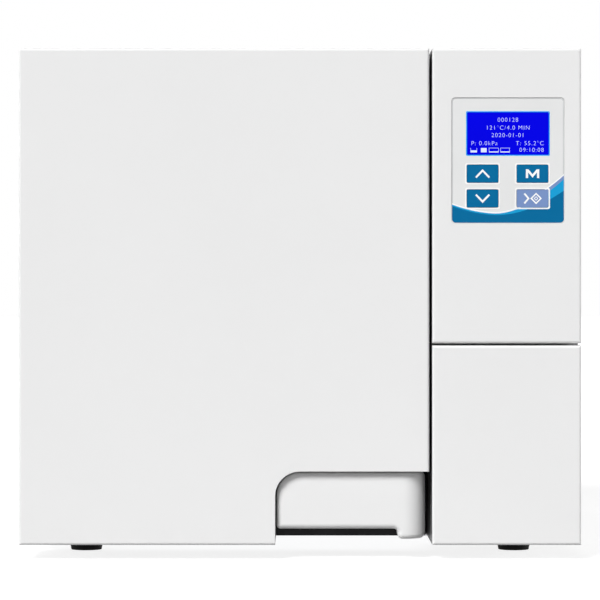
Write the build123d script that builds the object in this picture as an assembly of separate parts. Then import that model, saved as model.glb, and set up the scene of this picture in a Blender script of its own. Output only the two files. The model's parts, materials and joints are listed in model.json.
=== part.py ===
from build123d import *
import math
import os

os.makedirs("parts", exist_ok=True)

# Frame: X to the right, the front faces -Y, Z up. The origin lies under the middle of the appliance.

# Chamber and column, which set the size of the whole appliance, millimetres
CHAMBER_BORE = 247
CHAMBER_LENGTH = 360
COLUMN_WIDTH = 117.8
DOOR_THICKNESS = 80
FOOT_HEIGHT = 12
WIDTH_MARGIN = 77.8
HEIGHT_MARGIN = 146
REAR_SPACE = 147

# Named clearances
FLAT_CLEARANCE = 0.3
RUNNING_CLEARANCE = 0.05
SPLIT_GAP = 2.4
ROW_GAP = 1.8
DOOR_GAP = 3.0

# Whole appliance
DOOR_WIDTH = CHAMBER_BORE + WIDTH_MARGIN
BODY_WIDTH = DOOR_WIDTH + SPLIT_GAP + COLUMN_WIDTH
BODY_HEIGHT = CHAMBER_BORE + HEIGHT_MARGIN
BODY_DEPTH = DOOR_THICKNESS + DOOR_GAP + CHAMBER_LENGTH + REAR_SPACE
FRONT = -BODY_DEPTH / 2
BACK = BODY_DEPTH / 2
LEFT = -BODY_WIDTH / 2
RIGHT = BODY_WIDTH / 2
BASE = FOOT_HEIGHT
TOP = FOOT_HEIGHT + BODY_HEIGHT
MIDDLE = BASE + BODY_HEIGHT / 2

# Chamber door
COVER_WALL = 3
PANEL_THICKNESS = 3
PANEL_RAISE = 1.1
FRONT_RADIUS = 2
HINGE_INSET = 13
BARREL_RADIUS = 9.5
BARREL_HALF = 48
EAR_RADIUS = 11
EAR_HEIGHT = 14
EAR_SWEEP = 15
PIN_RADIUS = 5
COLUMN_LEFT = RIGHT - COLUMN_WIDTH
COLUMN_MIDDLE = RIGHT - COLUMN_WIDTH / 2
DOOR_RIGHT = COLUMN_LEFT - SPLIT_GAP
DOOR_BACK = FRONT + DOOR_THICKNESS
PANEL_FRONT = DOOR_BACK - PANEL_THICKNESS
PLATE_FRONT = DOOR_BACK + DOOR_GAP
HINGE_X = LEFT + HINGE_INSET
HINGE_Y = DOOR_BACK - HINGE_INSET
EAR_FROM = BARREL_HALF + 0.5
EAR_TO = EAR_FROM + EAR_HEIGHT

# Handle pocket and handle
POCKET_WIDTH = 122
POCKET_HEIGHT = 58.1
POCKET_RADIUS = 19.5
HANDLE_SETBACK = 5.6
KNUCKLE_RADIUS = 17.4
KNUCKLE_FROM_EDGE = 19.8
KNUCKLE_DROP = 8.3
GRIP_THICKNESS = 14
GRIP_BOTTOM = 12.4
GRIP_CLEARANCE = 1.2
GRIP_RADIUS = POCKET_RADIUS - GRIP_CLEARANCE
GRIP_EDGE = 4
SHAFT_RADIUS = 6
SHAFT_DEPTH = 34
BUSH_RADIUS = 8
BUSH_FLANGE_RADIUS = 11
POCKET_LEFT = DOOR_RIGHT - POCKET_WIDTH
POCKET_TOP = BASE + POCKET_HEIGHT
LOCK_X = DOOR_RIGHT - KNUCKLE_FROM_EDGE
LOCK_Y = FRONT + HANDLE_SETBACK + KNUCKLE_RADIUS
GRIP_TOP = POCKET_TOP - GRIP_CLEARANCE
GRIP_FRONT = FRONT + HANDLE_SETBACK

# Lock claw and keeper
KEEPER_REACH = 30
KEEPER_PIN_RADIUS = 5
LOCK_CLEARANCE = 0.5
CLAW_THICKNESS = 16
CLAW_HUB_RADIUS = 14
CLAW_LIP = 10
CLAW_START = 75
CLAW_WEB_START = 106
CLAW_END = 140
KEEPER_EAR = 8
KEEPER_EAR_GAP = 20
KEEPER_BASE = 4
KEEPER_Y = LOCK_Y + KEEPER_REACH
CLAW_INNER = KEEPER_REACH + KEEPER_PIN_RADIUS + LOCK_CLEARANCE
CLAW_OUTER = CLAW_INNER + CLAW_LIP
KEEPER_SLOT_HALF = 34

# Door bridge, pressure plate and seal
BRIDGE_BAR = 8
BRIDGE_SPLIT = 22
BRIDGE_FRONT = FRONT + 13
BRIDGE_DEPTH = 24
BOSS_RADIUS = 24
SPINDLE_RADIUS = 10
SPINDLE_FLANGE_RADIUS = 24
SPINDLE_FLANGE = 5
NUT_WIDTH = 30
NUT_THICKNESS = 8
PLATE_THICKNESS = 8
PLATE_BACK_INSET = 2
GASKET_WIDTH = 6.5
GASKET_DEPTH = 10
BORE_RADIUS = CHAMBER_BORE / 2
PLATE_RADIUS = BORE_RADIUS + 9.5
GASKET_INNER = BORE_RADIUS + 1
BRIDGE_BACK = BRIDGE_FRONT + BRIDGE_DEPTH
DISC_BACK = DOOR_BACK - PLATE_BACK_INSET
DISC_FRONT = DISC_BACK - PLATE_THICKNESS

# Chamber
CHAMBER_WALL = 3
CHAMBER_SIDE = 36
FLANGE_WIDTH = 18.5
FLANGE_THICKNESS = 14
DISH_DEPTH = 30
HEATER_THICKNESS = 2
INSULATION = 18
CHAMBER_X = LEFT + CHAMBER_SIDE + BORE_RADIUS
CHAMBER_Z = MIDDLE
FLANGE_RADIUS = BORE_RADIUS + FLANGE_WIDTH
SHELL_RADIUS = BORE_RADIUS + CHAMBER_WALL
CHAMBER_END = PLATE_FRONT + CHAMBER_LENGTH
INSULATION_RADIUS = SHELL_RADIUS + HEATER_THICKNESS + INSULATION
INSULATION_END = CHAMBER_END + DISH_DEPTH + INSULATION

# Trays
TRAY_WIDTH = CHAMBER_BORE - 71
TRAY_LENGTH = CHAMBER_LENGTH - 45
TRAY_SHEET = 1.2
TRAY_RIM = 10
TRAY_PITCH = 50
TRAY_DROP = 8
TRAY_COUNT = 3
RACK_SHEET = 1.5
RACK_ROD_RADIUS = 2.5
RACK_HALF = TRAY_WIDTH / 2 + 4
RACK_TOP = 66
RUNNER_WIDTH = 9
TRAY_FRONT_INSET = 22

# Sheet metal of the body
SHEET = 1.2
BODY_INSET = 2
FRONT_PLATE_THICKNESS = 6
FRONT_PLATE_RAISE = 22
BASE_SHEET = 1.5
REAR_SHEET = 1.5
REAR_PROUD = 8
CASING_RADIUS = 8
SLOT_HEIGHT = 4
SLOT_PITCH = 12
LOUVRE_BANKS = (195, 95)
LOUVRE_LENGTH = 62
LOUVRE_ROWS = 9
LOUVRE_RAISE = 106
VENT_COLUMNS = 3
VENT_ROWS = 10
VENT_LENGTH = 42
VENT_FROM_LEFT = 55
VENT_DROP = 168
FLOOR_SLOTS = 7
FLANGED_EDGE = 20
SCREW_RADIUS = 3.5
SCREW_INSET = 20
SCREW_DROP = 103
CASE_LEFT = LEFT + BODY_INSET
CASE_RIGHT = RIGHT - BODY_INSET
CASE_TOP = TOP - BODY_INSET
PLATE_BACK = PLATE_FRONT + FRONT_PLATE_THICKNESS
REAR_FACE = BACK - REAR_PROUD
CASE_END = REAR_FACE - REAR_SHEET
INNER_LEFT = CASE_LEFT + SHEET
INNER_RIGHT = CASE_RIGHT - SHEET
FLOOR = BASE + BASE_SHEET

# Column
SERVICE_HEIGHT = 157.8
SERVICE_DEPTH = 25
SERVICE_WALL = 2.5
SERVICE_GAP = 2.2
SERVICE_INSET = 7
SERVICE_EAR_RADIUS = 5.5
SERVICE_EAR_HEIGHT = 8
SERVICE_PIN_RADIUS = 2.5
MAGNET_HEIGHT = 18
SERVICE_EAR_INSET = 30
BAY_DEPTH = 118
BAY_WALL = 3
SERVICE_TOP = BASE + SERVICE_HEIGHT
FASCIA_BOTTOM = SERVICE_TOP + ROW_GAP
SERVICE_BACK = FRONT + SERVICE_DEPTH
BAY_FRONT = SERVICE_BACK + SERVICE_GAP
BAY_BACK = BAY_FRONT + BAY_DEPTH
SERVICE_X = RIGHT - SERVICE_INSET
SERVICE_Y = SERVICE_BACK - SERVICE_INSET

# Control panel, with distances measured down from its top edge
OVERLAY_WIDTH = 89.2
OVERLAY_HEIGHT = 99.4
OVERLAY_DROP = 39
OVERLAY_ASIDE = 0.9
OVERLAY_RECESS = 1.2
OVERLAY_THICKNESS = 0.8
OVERLAY_RADIUS = 3
WINDOW_WIDTH = 65
WINDOW_HEIGHT = 34
WINDOW_DROP = 28.4
KEY_WIDTH = 24.7
KEY_HEIGHT = 13.9
KEY_RADIUS = 1.2
KEY_PITCH = 39.5
KEY_ROW_DROPS = (60.2, 79.8)
KEY_CLEARANCE = 0.35
KEY_TRAVEL = 0.5
KEY_LIP = 1.2
KEY_PROUD = 0.3
BOARD_SHEET = 1.6
BOARD_SETBACK = 11
SWITCH_HEIGHT = 4.3
OVERLAY_X = COLUMN_MIDDLE + OVERLAY_ASIDE
OVERLAY_HIGH = TOP - OVERLAY_DROP
OVERLAY_LOW = OVERLAY_HIGH - OVERLAY_HEIGHT
WINDOW_Z = OVERLAY_HIGH - WINDOW_DROP

# Water tank and lid
TANK_WALL = 2.5
TANK_DROP = 18
TANK_RAISE = 43.4
TANK_SHARE = 0.5615
TANK_MARGIN = 5
TANK_CORNER = 8
SHELF_SHEET = 2
LID_WIDTH = 84
LID_LENGTH = 130
LID_THICKNESS = 7
LID_WALL = 2
LID_INSET = 4
LID_GAP = 0.8
LID_PIN_RADIUS = 1.5
COLLAR_WALL = 2.2
LID_SETBACK = 36
TANK_TOP = TOP - TANK_DROP
TANK_BOTTOM = FASCIA_BOTTOM + TANK_RAISE
TANK_LENGTH = (CASE_END - PLATE_BACK) * TANK_SHARE
LID_FRONT = PLATE_BACK + LID_SETBACK
LID_X = COLUMN_MIDDLE - 0.9
TANK_LEFT = COLUMN_LEFT
TANK_RIGHT = INNER_RIGHT - TANK_MARGIN
LID_BACK = LID_FRONT + LID_LENGTH
LID_AXIS_Y = LID_BACK - LID_INSET
LID_AXIS_Z = TOP - LID_INSET

# Fan at the rear
FAN_FROM_CHAMBER = 37
FAN_HEIGHT = 98
FAN_SIZE = 120
FAN_DEPTH = 25
FAN_WALL = 2.5
FAN_TIP_CLEARANCE = 1.5
FAN_HUB = 20
FAN_BLADES = 7
FAN_SHAFT = 2
FAN_FRAME_SHEET = 4
GUARD_THICKNESS = 2.5
GUARD_RINGS = 5
FAN_BORE = FAN_SIZE / 2 - FAN_WALL
FAN_X = CHAMBER_X - FAN_FROM_CHAMBER
FAN_Z = BASE + FAN_HEIGHT
FAN_FRONT = CASE_END - FAN_DEPTH

# Rear fittings
INLET_FROM_RIGHT = 52.5
INLET_HEIGHT = 48
INLET_HALF_WIDTH = 13.5
INLET_HALF_HEIGHT = 9.8
FUSE_FROM_INLET = (-65, -42)
FUSE_RADIUS = 6
VALVE_FROM_CHAMBER = 103
FUSE_SLOT = 1.6
POWER_BOARD_WIDTH = 135
POWER_BOARD_HEIGHT = 110
POWER_BOARD_LEFT = COLUMN_MIDDLE + 42 - POWER_BOARD_WIDTH
VALVE_DROP = 73
VALVE_BODY_RADIUS = 9
VALVE_STEM_RADIUS = 2.2
INLET_X = RIGHT - INLET_FROM_RIGHT
INLET_Z = BASE + INLET_HEIGHT
FUSE_X = [INLET_X + step for step in FUSE_FROM_INLET]
VALVE_X = CHAMBER_X + VALVE_FROM_CHAMBER
VALVE_Z = TOP - VALVE_DROP

# Drain couplings, filter and switch in the service bay, from its lower left corner
DRAIN_STEPS = (24, 56)
DRAIN_HEIGHT = 34
DRAIN_RADIUS = 3.5
DRAIN_WALL = 2.5
DRAIN_LENGTH = 24
DRAIN_FOOT = 6
DRAIN_TAIL = 6
FILTER_PLACE = (COLUMN_MIDDLE - 1, SERVICE_TOP - 46)
FILTER_RADIUS = 27
FILTER_SPIGOT = 5
SWITCH_PLACE = (RIGHT - 25.8, BASE + 36)
SWITCH_HALF_WIDTH = 7.8
SWITCH_HALF_HEIGHT = 12.8
ROCKER_HALF = 10
ROCKER_TILT = 10
ROCKER_PIN_RADIUS = 1.5
BAY_REAR_WALL = BAY_BACK - BAY_WALL
ROCKER_Y = BAY_REAR_WALL + 3

# Pumps, generator and valves inside the body
PUMP_RAISE = 14.5
PUMP_SETBACK = 20
PUMP_MOTOR_RADIUS = 39
PUMP_AXIS = 46
GENERATOR_FROM_CHAMBER = 17
GENERATOR_HALF = 70
GENERATOR_DROP = 103
VALVES_FROM_SIDE = 8
VALVES_SHARE = 0.5556
VALVES_WIDTH = 40
VALVES_RAISE = 30
VALVES_HEIGHT = 34
VALVES_COUNT = 4
FEED_PUMP_FROM_LEFT = 46
FEED_PUMP_SHARE = 0.723
FEED_PUMP_RADIUS = 20
FEED_PUMP_LENGTH = 60
FEED_PORT = 20
PIPE_RADIUS = 4
FEED_PIPE_RADIUS = 3.5
CONDENSER_DEPTH = 32
CONDENSER_HEADER = 8
CONDENSER_FINS = 13
COLUMN_RUN = CASE_END - BAY_BACK
REAR_BAY = CASE_END - INSULATION_END
VALVES_LEFT = COLUMN_LEFT + VALVES_FROM_SIDE
VALVES_RIGHT = RIGHT - 2 * VALVES_FROM_SIDE
VALVES_FRONT = BAY_BACK + COLUMN_RUN * VALVES_SHARE
VALVES_BACK = VALVES_FRONT + VALVES_WIDTH
VALVES_LOW = FLOOR + VALVES_RAISE
VALVES_TOP = VALVES_LOW + VALVES_HEIGHT
PUMP_X = COLUMN_MIDDLE
PUMP_FOOT = FLOOR + PUMP_RAISE
PUMP_Z = PUMP_FOOT + PUMP_AXIS
PUMP_FRONT = BAY_BACK + PUMP_SETBACK
PUMP_BACK = VALVES_FRONT - VALVES_WIDTH + 4
GENERATOR_RADIUS = REAR_BAY * 0.38
GENERATOR_X = CHAMBER_X - GENERATOR_FROM_CHAMBER
GENERATOR_Y = INSULATION_END + REAR_BAY * 0.536
GENERATOR_Z = TOP - GENERATOR_DROP
FEED_PUMP_X = COLUMN_LEFT + FEED_PUMP_FROM_LEFT
FEED_PUMP_Z = FLOOR + FEED_PUMP_RADIUS + 10
FEED_PUMP_FRONT = BAY_BACK + COLUMN_RUN * FEED_PUMP_SHARE
FEED_PUMP_BACK = FEED_PUMP_FRONT + FEED_PUMP_LENGTH

# Feet
FOOT_TOP_RADIUS = 15
FOOT_BOTTOM_RADIUS = 12.5
FOOT_FROM_SIDE = 46
FOOT_FROM_FRONT = 100
FOOT_FROM_BACK = 60


def block(x0, x1, y0, y1, z0, z1):
    """Box between two opposite corners."""
    return Pos((x0 + x1) / 2, (y0 + y1) / 2, (z0 + z1) / 2) * Box(x1 - x0, y1 - y0, z1 - z0)


def rod_x(radius, x0, x1, y, z):
    return Pos((x0 + x1) / 2, y, z) * Rot(0, 90, 0) * Cylinder(radius, x1 - x0)


def rod_y(radius, y0, y1, x, z):
    return Pos(x, (y0 + y1) / 2, z) * Rot(90, 0, 0) * Cylinder(radius, y1 - y0)


def rod_z(radius, z0, z1, x, y):
    return Pos(x, y, (z0 + z1) / 2) * Cylinder(radius, z1 - z0)


def plan_prism(sketch, z0, z1):
    """A sketch seen from above, X and Y, raised from z0 to z1."""
    return extrude(Pos(0, 0, z0) * sketch, z1 - z0)


def front_prism(sketch, y0, y1):
    """A sketch seen from the front, X and Z, from depth y0 back to y1."""
    plane = Plane((0, y1, 0), x_dir=(1, 0, 0), z_dir=(0, -1, 0))
    return extrude(plane * sketch, y1 - y0)


def side_prism(sketch, x0, x1):
    """A sketch seen from the right side, Y and Z, from x0 to x1."""
    plane = Plane((x0, 0, 0), x_dir=(0, 1, 0), z_dir=(1, 0, 0))
    return extrude(plane * sketch, x1 - x0)


def rounded(width, height, radius, x, z):
    """Rounded rectangle about a middle point."""
    return Pos(x, z) * RectangleRounded(width, height, radius)


def corner_fillet(sketch, point, radius):
    """Round the one corner of a sketch that lies nearest to a point."""
    corner = sketch.vertices().sort_by_distance((point[0], point[1], 0))[0]
    return fillet(corner, radius)


def group(shapes):
    """Separate solids kept together as one node."""
    return Compound([solid for shape in shapes for solid in shape.solids()])


def save(name, shape):
    export_step(shape, f"parts/{name}.step")


def front_rounded(solid, radius):
    """Round the four edges of a moulding's front face."""
    front = solid.faces().sort_by(Axis.Y)[0]
    return fillet(front.edges(), radius)


def hinge_ear_zones():
    """Height ranges of the two fixed ears, below and above the barrel."""
    return ((MIDDLE - EAR_TO, MIDDLE - EAR_FROM), (MIDDLE + EAR_FROM, MIDDLE + EAR_TO))


# Chamber door


def door_outline(inset, back):
    """Plan of the door, rounded about the hinge axis at its rear left corner."""
    left = LEFT + inset
    front = FRONT + inset
    right = DOOR_RIGHT - inset
    return Pos((left + right) / 2, (front + back) / 2) * Rectangle(right - left, back - front)


def hinge_round(solid, inset):
    """Keep what lies inside the round about the hinge axis at the rear left edge."""
    radius = HINGE_INSET - inset
    corner = block(LEFT - 1, HINGE_X, HINGE_Y, DOOR_BACK + 1, BASE - 1, TOP + 1)
    disc = rod_z(radius, BASE - 2, TOP + 2, HINGE_X, HINGE_Y)
    return solid - (corner - disc)


def ear_notches():
    """Room for the fixed ears while the door swings round them."""
    notches = []
    for low, high in hinge_ear_zones():
        notches.append(block(LEFT - 1, HINGE_X + EAR_RADIUS + 1, HINGE_Y - EAR_SWEEP, DOOR_BACK + 1,
                             low - 1.5, high + 1.5))
    return notches


def pocket_solid(grow, back):
    """The handle pocket, open below and to the right, grown by a wall."""
    width = POCKET_WIDTH + grow + 20
    height = POCKET_HEIGHT + grow + 20
    left = POCKET_LEFT - grow
    top = POCKET_TOP + grow
    sketch = Pos(left + width / 2, top - height / 2) * Rectangle(width, height)
    sketch = corner_fillet(sketch, (left, top), POCKET_RADIUS + grow)
    return front_prism(sketch, FRONT - 1, back)


def cover_posts():
    """Posts inside the cover that rest on the bridge bars."""
    posts = []
    for x in (LEFT + 75, LOCK_X - 58):
        for side in (-1, 1):
            z = MIDDLE + side * (BRIDGE_SPLIT + BRIDGE_BAR / 2)
            posts.append(rod_y(7, FRONT + COVER_WALL - 1, BRIDGE_FRONT, x, z))
    return posts


def door_cover():
    outer = plan_prism(door_outline(0, PANEL_FRONT), BASE, TOP)
    outer = front_rounded(outer, FRONT_RADIUS)
    outer = hinge_round(outer, 0)
    cavity = plan_prism(door_outline(COVER_WALL, PANEL_FRONT), BASE + COVER_WALL, TOP - COVER_WALL)
    cavity = hinge_round(cavity, COVER_WALL)
    cavity -= pocket_solid(COVER_WALL, DOOR_BACK + 1)
    shell = outer - pocket_solid(0, DOOR_BACK + 1) - cavity
    for post in cover_posts():
        shell += post
    for notch in ear_notches():
        shell -= notch
    shell -= rod_z(BUSH_RADIUS, POCKET_TOP - 1, POCKET_TOP + COVER_WALL + 1, LOCK_X, LOCK_Y)
    return shell


def door_inner_panel():
    panel = block(LEFT, DOOR_RIGHT, PANEL_FRONT, DOOR_BACK, BASE + PANEL_RAISE, TOP)
    panel = hinge_round(panel, 0)
    panel -= rod_y(PLATE_RADIUS + 1.5, PANEL_FRONT - 1, DOOR_BACK + 1, CHAMBER_X, CHAMBER_Z)
    slot_left = LOCK_X - KEEPER_EAR - 2.5
    panel -= block(slot_left, DOOR_RIGHT - COVER_WALL - 0.9, PANEL_FRONT - 1, DOOR_BACK + 1,
                   MIDDLE - KEEPER_SLOT_HALF, MIDDLE + KEEPER_SLOT_HALF)
    for notch in ear_notches():
        panel -= notch
    return panel


def door_bridge():
    bars = []
    right = LOCK_X + 12
    for side in (-1, 1):
        z0 = MIDDLE + side * (BRIDGE_SPLIT + BRIDGE_BAR / 2) - BRIDGE_BAR / 2
        left = HINGE_X - BARREL_RADIUS + 1
        bar = block(left, right, BRIDGE_FRONT, BRIDGE_BACK, z0, z0 + BRIDGE_BAR)
        bar += block(left, HINGE_X + BARREL_RADIUS + 6, BRIDGE_FRONT, HINGE_Y, z0, z0 + BRIDGE_BAR)
        bar -= rod_z(BUSH_RADIUS, z0 - 1, z0 + BRIDGE_BAR + 1, LOCK_X, LOCK_Y)
        bars.append(bar)
    boss_back = DISC_FRONT - SPINDLE_FLANGE - FLAT_CLEARANCE
    boss = rod_y(BOSS_RADIUS, BRIDGE_FRONT, boss_back, CHAMBER_X, CHAMBER_Z)
    barrel = rod_z(BARREL_RADIUS, MIDDLE - BARREL_HALF, MIDDLE + BARREL_HALF, HINGE_X, HINGE_Y)
    body = bars[0] + bars[1] + boss + barrel
    body -= rod_y(SPINDLE_RADIUS + RUNNING_CLEARANCE, BRIDGE_FRONT - 1, boss_back + 1, CHAMBER_X, CHAMBER_Z)
    body -= rod_z(PIN_RADIUS + RUNNING_CLEARANCE, MIDDLE - BARREL_HALF - 1, MIDDLE + BARREL_HALF + 1,
                  HINGE_X, HINGE_Y)
    return body


def pressure_plate():
    """Round plate with a shallow dish towards the chamber and a groove for the seal."""
    depth = DISC_BACK - DISC_FRONT
    profile = Polyline((0, 0), (PLATE_RADIUS, 0), (PLATE_RADIUS, depth), (PLATE_RADIUS - 14, depth),
                       (PLATE_RADIUS - 22, depth - 4), (0, depth - 4), (0, 0))
    disc = revolve(Plane.XZ * make_face(profile), Axis.Z)
    disc = Pos(CHAMBER_X, DISC_FRONT, CHAMBER_Z) * Rot(-90, 0, 0) * disc
    groove_front = PLATE_FRONT - GASKET_DEPTH
    groove = rod_y(GASKET_INNER + GASKET_WIDTH, groove_front, DOOR_BACK, CHAMBER_X, CHAMBER_Z)
    groove -= rod_y(GASKET_INNER, groove_front - 1, DOOR_BACK + 1, CHAMBER_X, CHAMBER_Z)
    return disc - groove


def door_gasket():
    front = PLATE_FRONT - GASKET_DEPTH
    ring = rod_y(GASKET_INNER + GASKET_WIDTH, front, PLATE_FRONT, CHAMBER_X, CHAMBER_Z)
    ring -= rod_y(GASKET_INNER, front - 1, PLATE_FRONT + 1, CHAMBER_X, CHAMBER_Z)
    lip = ring.faces().sort_by(Axis.Y)[-1]
    return fillet(lip.edges(), 1.8)


def door_spindle():
    """Spindle with its flange on the pressure plate, and the nut that clamps it to the bridge."""
    flange = rod_y(SPINDLE_FLANGE_RADIUS, DISC_FRONT - SPINDLE_FLANGE, DISC_FRONT, CHAMBER_X, CHAMBER_Z)
    stem = rod_y(SPINDLE_RADIUS, BRIDGE_FRONT - NUT_THICKNESS - 1, DISC_FRONT, CHAMBER_X, CHAMBER_Z)
    outline = Pos(CHAMBER_X, CHAMBER_Z) * RegularPolygon(NUT_WIDTH / 2, 6, major_radius=False)
    nut = front_prism(outline, BRIDGE_FRONT - NUT_THICKNESS, BRIDGE_FRONT)
    hole = SPINDLE_RADIUS + RUNNING_CLEARANCE
    nut -= rod_y(hole, BRIDGE_FRONT - NUT_THICKNESS - 2, BRIDGE_FRONT + 1, CHAMBER_X, CHAMBER_Z)
    return group([flange + stem, nut])


def flanged_bush(z0, z1, flange_z0, flange_z1):
    bush = rod_z(BUSH_RADIUS, z0, z1, LOCK_X, LOCK_Y)
    bush += rod_z(BUSH_FLANGE_RADIUS, flange_z0, flange_z1, LOCK_X, LOCK_Y)
    return bush - rod_z(SHAFT_RADIUS + RUNNING_CLEARANCE, z0 - 3, z1 + 3, LOCK_X, LOCK_Y)


def shaft_bushes():
    pocket = flanged_bush(POCKET_TOP, POCKET_TOP + COVER_WALL, POCKET_TOP + COVER_WALL,
                          POCKET_TOP + COVER_WALL + 2)
    low = MIDDLE - BRIDGE_SPLIT - BRIDGE_BAR
    high = MIDDLE + BRIDGE_SPLIT
    lower = flanged_bush(low, low + BRIDGE_BAR, low - 2, low)
    upper = flanged_bush(high, high + BRIDGE_BAR, high + BRIDGE_BAR, high + BRIDGE_BAR + 2)
    return group([pocket, lower, upper])


# Handle and lock


def handle_outline():
    """Front outline of the grip with the dropped foot of its knuckle."""
    left = POCKET_LEFT + GRIP_CLEARANCE
    right = LOCK_X + KNUCKLE_RADIUS
    step = LOCK_X - 5
    low = BASE + GRIP_BOTTOM - KNUCKLE_DROP
    bottom = BASE + GRIP_BOTTOM
    sketch = Polygon((left, bottom), (step, bottom), (step, low), (right, low), (right, GRIP_TOP),
                     (left, GRIP_TOP), align=None)
    sketch = corner_fillet(sketch, (left, GRIP_TOP), GRIP_RADIUS)
    sketch = corner_fillet(sketch, (left, bottom), 3)
    sketch = corner_fillet(sketch, (step, bottom), 3.5)
    sketch = corner_fillet(sketch, (step, low), 4)
    return corner_fillet(sketch, (right, low), 5)


def grip_edges(handle):
    """Front edges of the grip along its left side, its rounded corner and its top."""
    corner = POCKET_LEFT + GRIP_CLEARANCE + GRIP_RADIUS
    edges = []
    for edge in handle.edges():
        middle = edge @ 0.5
        on_front = abs(middle.Y - GRIP_FRONT) < 0.01
        along_left = middle.X < corner and middle.Z > BASE + GRIP_BOTTOM + 3
        along_top = middle.Z > GRIP_TOP - 1
        if on_front and (along_left or along_top):
            edges.append(edge)
    return edges


def door_handle():
    """Grip plate that runs tangent into a round knuckle about the lock shaft."""
    left = POCKET_LEFT + GRIP_CLEARANCE
    back = GRIP_FRONT + GRIP_THICKNESS
    grip = block(left, LOCK_X, GRIP_FRONT, back, BASE, GRIP_TOP)
    knuckle = rod_z(KNUCKLE_RADIUS, BASE, GRIP_TOP, LOCK_X, LOCK_Y)
    blend = block(LOCK_X - KNUCKLE_RADIUS - 6, LOCK_X, back - 1, back + 6, BASE, GRIP_TOP)
    blend -= rod_z(6, BASE - 1, GRIP_TOP + 1, LOCK_X - KNUCKLE_RADIUS - 6, back + 6)
    plan = grip + knuckle + blend
    handle = plan & front_prism(handle_outline(), GRIP_FRONT - 1, LOCK_Y + KNUCKLE_RADIUS + 1)
    handle = fillet(grip_edges(handle), GRIP_EDGE)
    return handle - rod_z(SHAFT_RADIUS, GRIP_TOP - SHAFT_DEPTH, GRIP_TOP + 1, LOCK_X, LOCK_Y)


def lock_shaft():
    top = MIDDLE + BRIDGE_SPLIT + BRIDGE_BAR + 8
    shaft = rod_z(SHAFT_RADIUS, GRIP_TOP - SHAFT_DEPTH, top, LOCK_X, LOCK_Y)
    collar_low = POCKET_TOP + COVER_WALL + 2 + FLAT_CLEARANCE
    return shaft + rod_z(BUSH_FLANGE_RADIUS - 1, collar_low, collar_low + 4, LOCK_X, LOCK_Y)


def ring_sector(inner, outer, start, end):
    """Flat sector of a ring about the lock shaft, angles from +X in degrees."""
    points = []
    middle = (start + end) / 2
    for radius, first, last in ((outer, start, end), (inner, end, start)):
        points.append([(radius * math.cos(math.radians(a)), radius * math.sin(math.radians(a)))
                       for a in (first, middle, last)])
    arc_out = ThreePointArc(*points[0])
    arc_in = ThreePointArc(*points[1])
    first_end = Line(arc_out @ 1, arc_in @ 0)
    last_end = Line(arc_in @ 1, arc_out @ 0)
    return Pos(LOCK_X, LOCK_Y) * make_face([arc_out, first_end, arc_in, last_end])


def lock_claw():
    """Hub, web and a lip that is concentric with the shaft, so that it slides behind the keeper pin."""
    low = MIDDLE - CLAW_THICKNESS / 2
    high = MIDDLE + CLAW_THICKNESS / 2
    lip = plan_prism(ring_sector(CLAW_INNER, CLAW_OUTER, CLAW_START, CLAW_END), low, high)
    web = plan_prism(ring_sector(CLAW_HUB_RADIUS - 3, CLAW_OUTER, CLAW_WEB_START, CLAW_END), low, high)
    hub = rod_z(CLAW_HUB_RADIUS, low, high, LOCK_X, LOCK_Y)
    return hub + web + lip - rod_z(SHAFT_RADIUS, low - 1, high + 1, LOCK_X, LOCK_Y)


def hinge_brackets():
    """Two steel ears that carry the door, each with a foot behind the front plate."""
    ears = []
    left = INNER_LEFT + FLAT_CLEARANCE
    for low, high in hinge_ear_zones():
        ear = rod_z(EAR_RADIUS, low, high, HINGE_X, HINGE_Y)
        ear += block(left, HINGE_X + 7.5, HINGE_Y, PLATE_BACK, low, high)
        ear += block(left, HINGE_X + 9.5, PLATE_BACK, PLATE_BACK + 6, low - 10, high + 10)
        ears.append(ear - rod_z(PIN_RADIUS, low - 1, high + 1, HINGE_X, HINGE_Y))
    return group(ears)


def hinge_pin():
    head = rod_z(PIN_RADIUS + 3, MIDDLE + EAR_TO, MIDDLE + EAR_TO + 1.2, HINGE_X, HINGE_Y)
    return head + rod_z(PIN_RADIUS, MIDDLE - EAR_TO, MIDDLE + EAR_TO, HINGE_X, HINGE_Y)


def lock_keeper():
    """Clevis on the chamber flange that holds the keeper pin."""
    base_left = LOCK_X - KEEPER_EAR
    face = PLATE_FRONT - KEEPER_BASE
    keeper = block(base_left, LOCK_X + 14, face, PLATE_FRONT, MIDDLE - KEEPER_SLOT_HALF + 2,
                   MIDDLE + KEEPER_SLOT_HALF - 2)
    for side in (-1, 1):
        z0 = MIDDLE + side * (KEEPER_EAR_GAP + KEEPER_EAR) / 2 - KEEPER_EAR / 2
        keeper += block(LOCK_X - KEEPER_EAR, LOCK_X + KEEPER_EAR, KEEPER_Y, face, z0, z0 + KEEPER_EAR)
        keeper += rod_z(KEEPER_EAR, z0, z0 + KEEPER_EAR, LOCK_X, KEEPER_Y)
    half = KEEPER_EAR_GAP / 2 + KEEPER_EAR
    keeper -= rod_z(KEEPER_PIN_RADIUS, MIDDLE - half - 1, MIDDLE + half + 1, LOCK_X, KEEPER_Y)
    pin = rod_z(KEEPER_PIN_RADIUS, MIDDLE - half, MIDDLE + half, LOCK_X, KEEPER_Y)
    return group([keeper, pin])


# Chamber and what stands in it


def about_chamber(profile):
    """Turn a profile of radius and depth about the chamber's axis."""
    body = revolve(Plane.XZ * make_face(profile), Axis.Z)
    return Pos(CHAMBER_X, 0, CHAMBER_Z) * Rot(-90, 0, 0) * body


def dish_arc(radius, start, depth):
    """Arc of a dished end from its rim to the chamber's axis."""
    sphere = (radius ** 2 + depth ** 2) / (2 * depth)
    middle = start + depth - sphere + math.sqrt(sphere ** 2 - radius ** 2 / 4)
    return ThreePointArc((radius, start), (radius / 2, middle), (0, start + depth))


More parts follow.
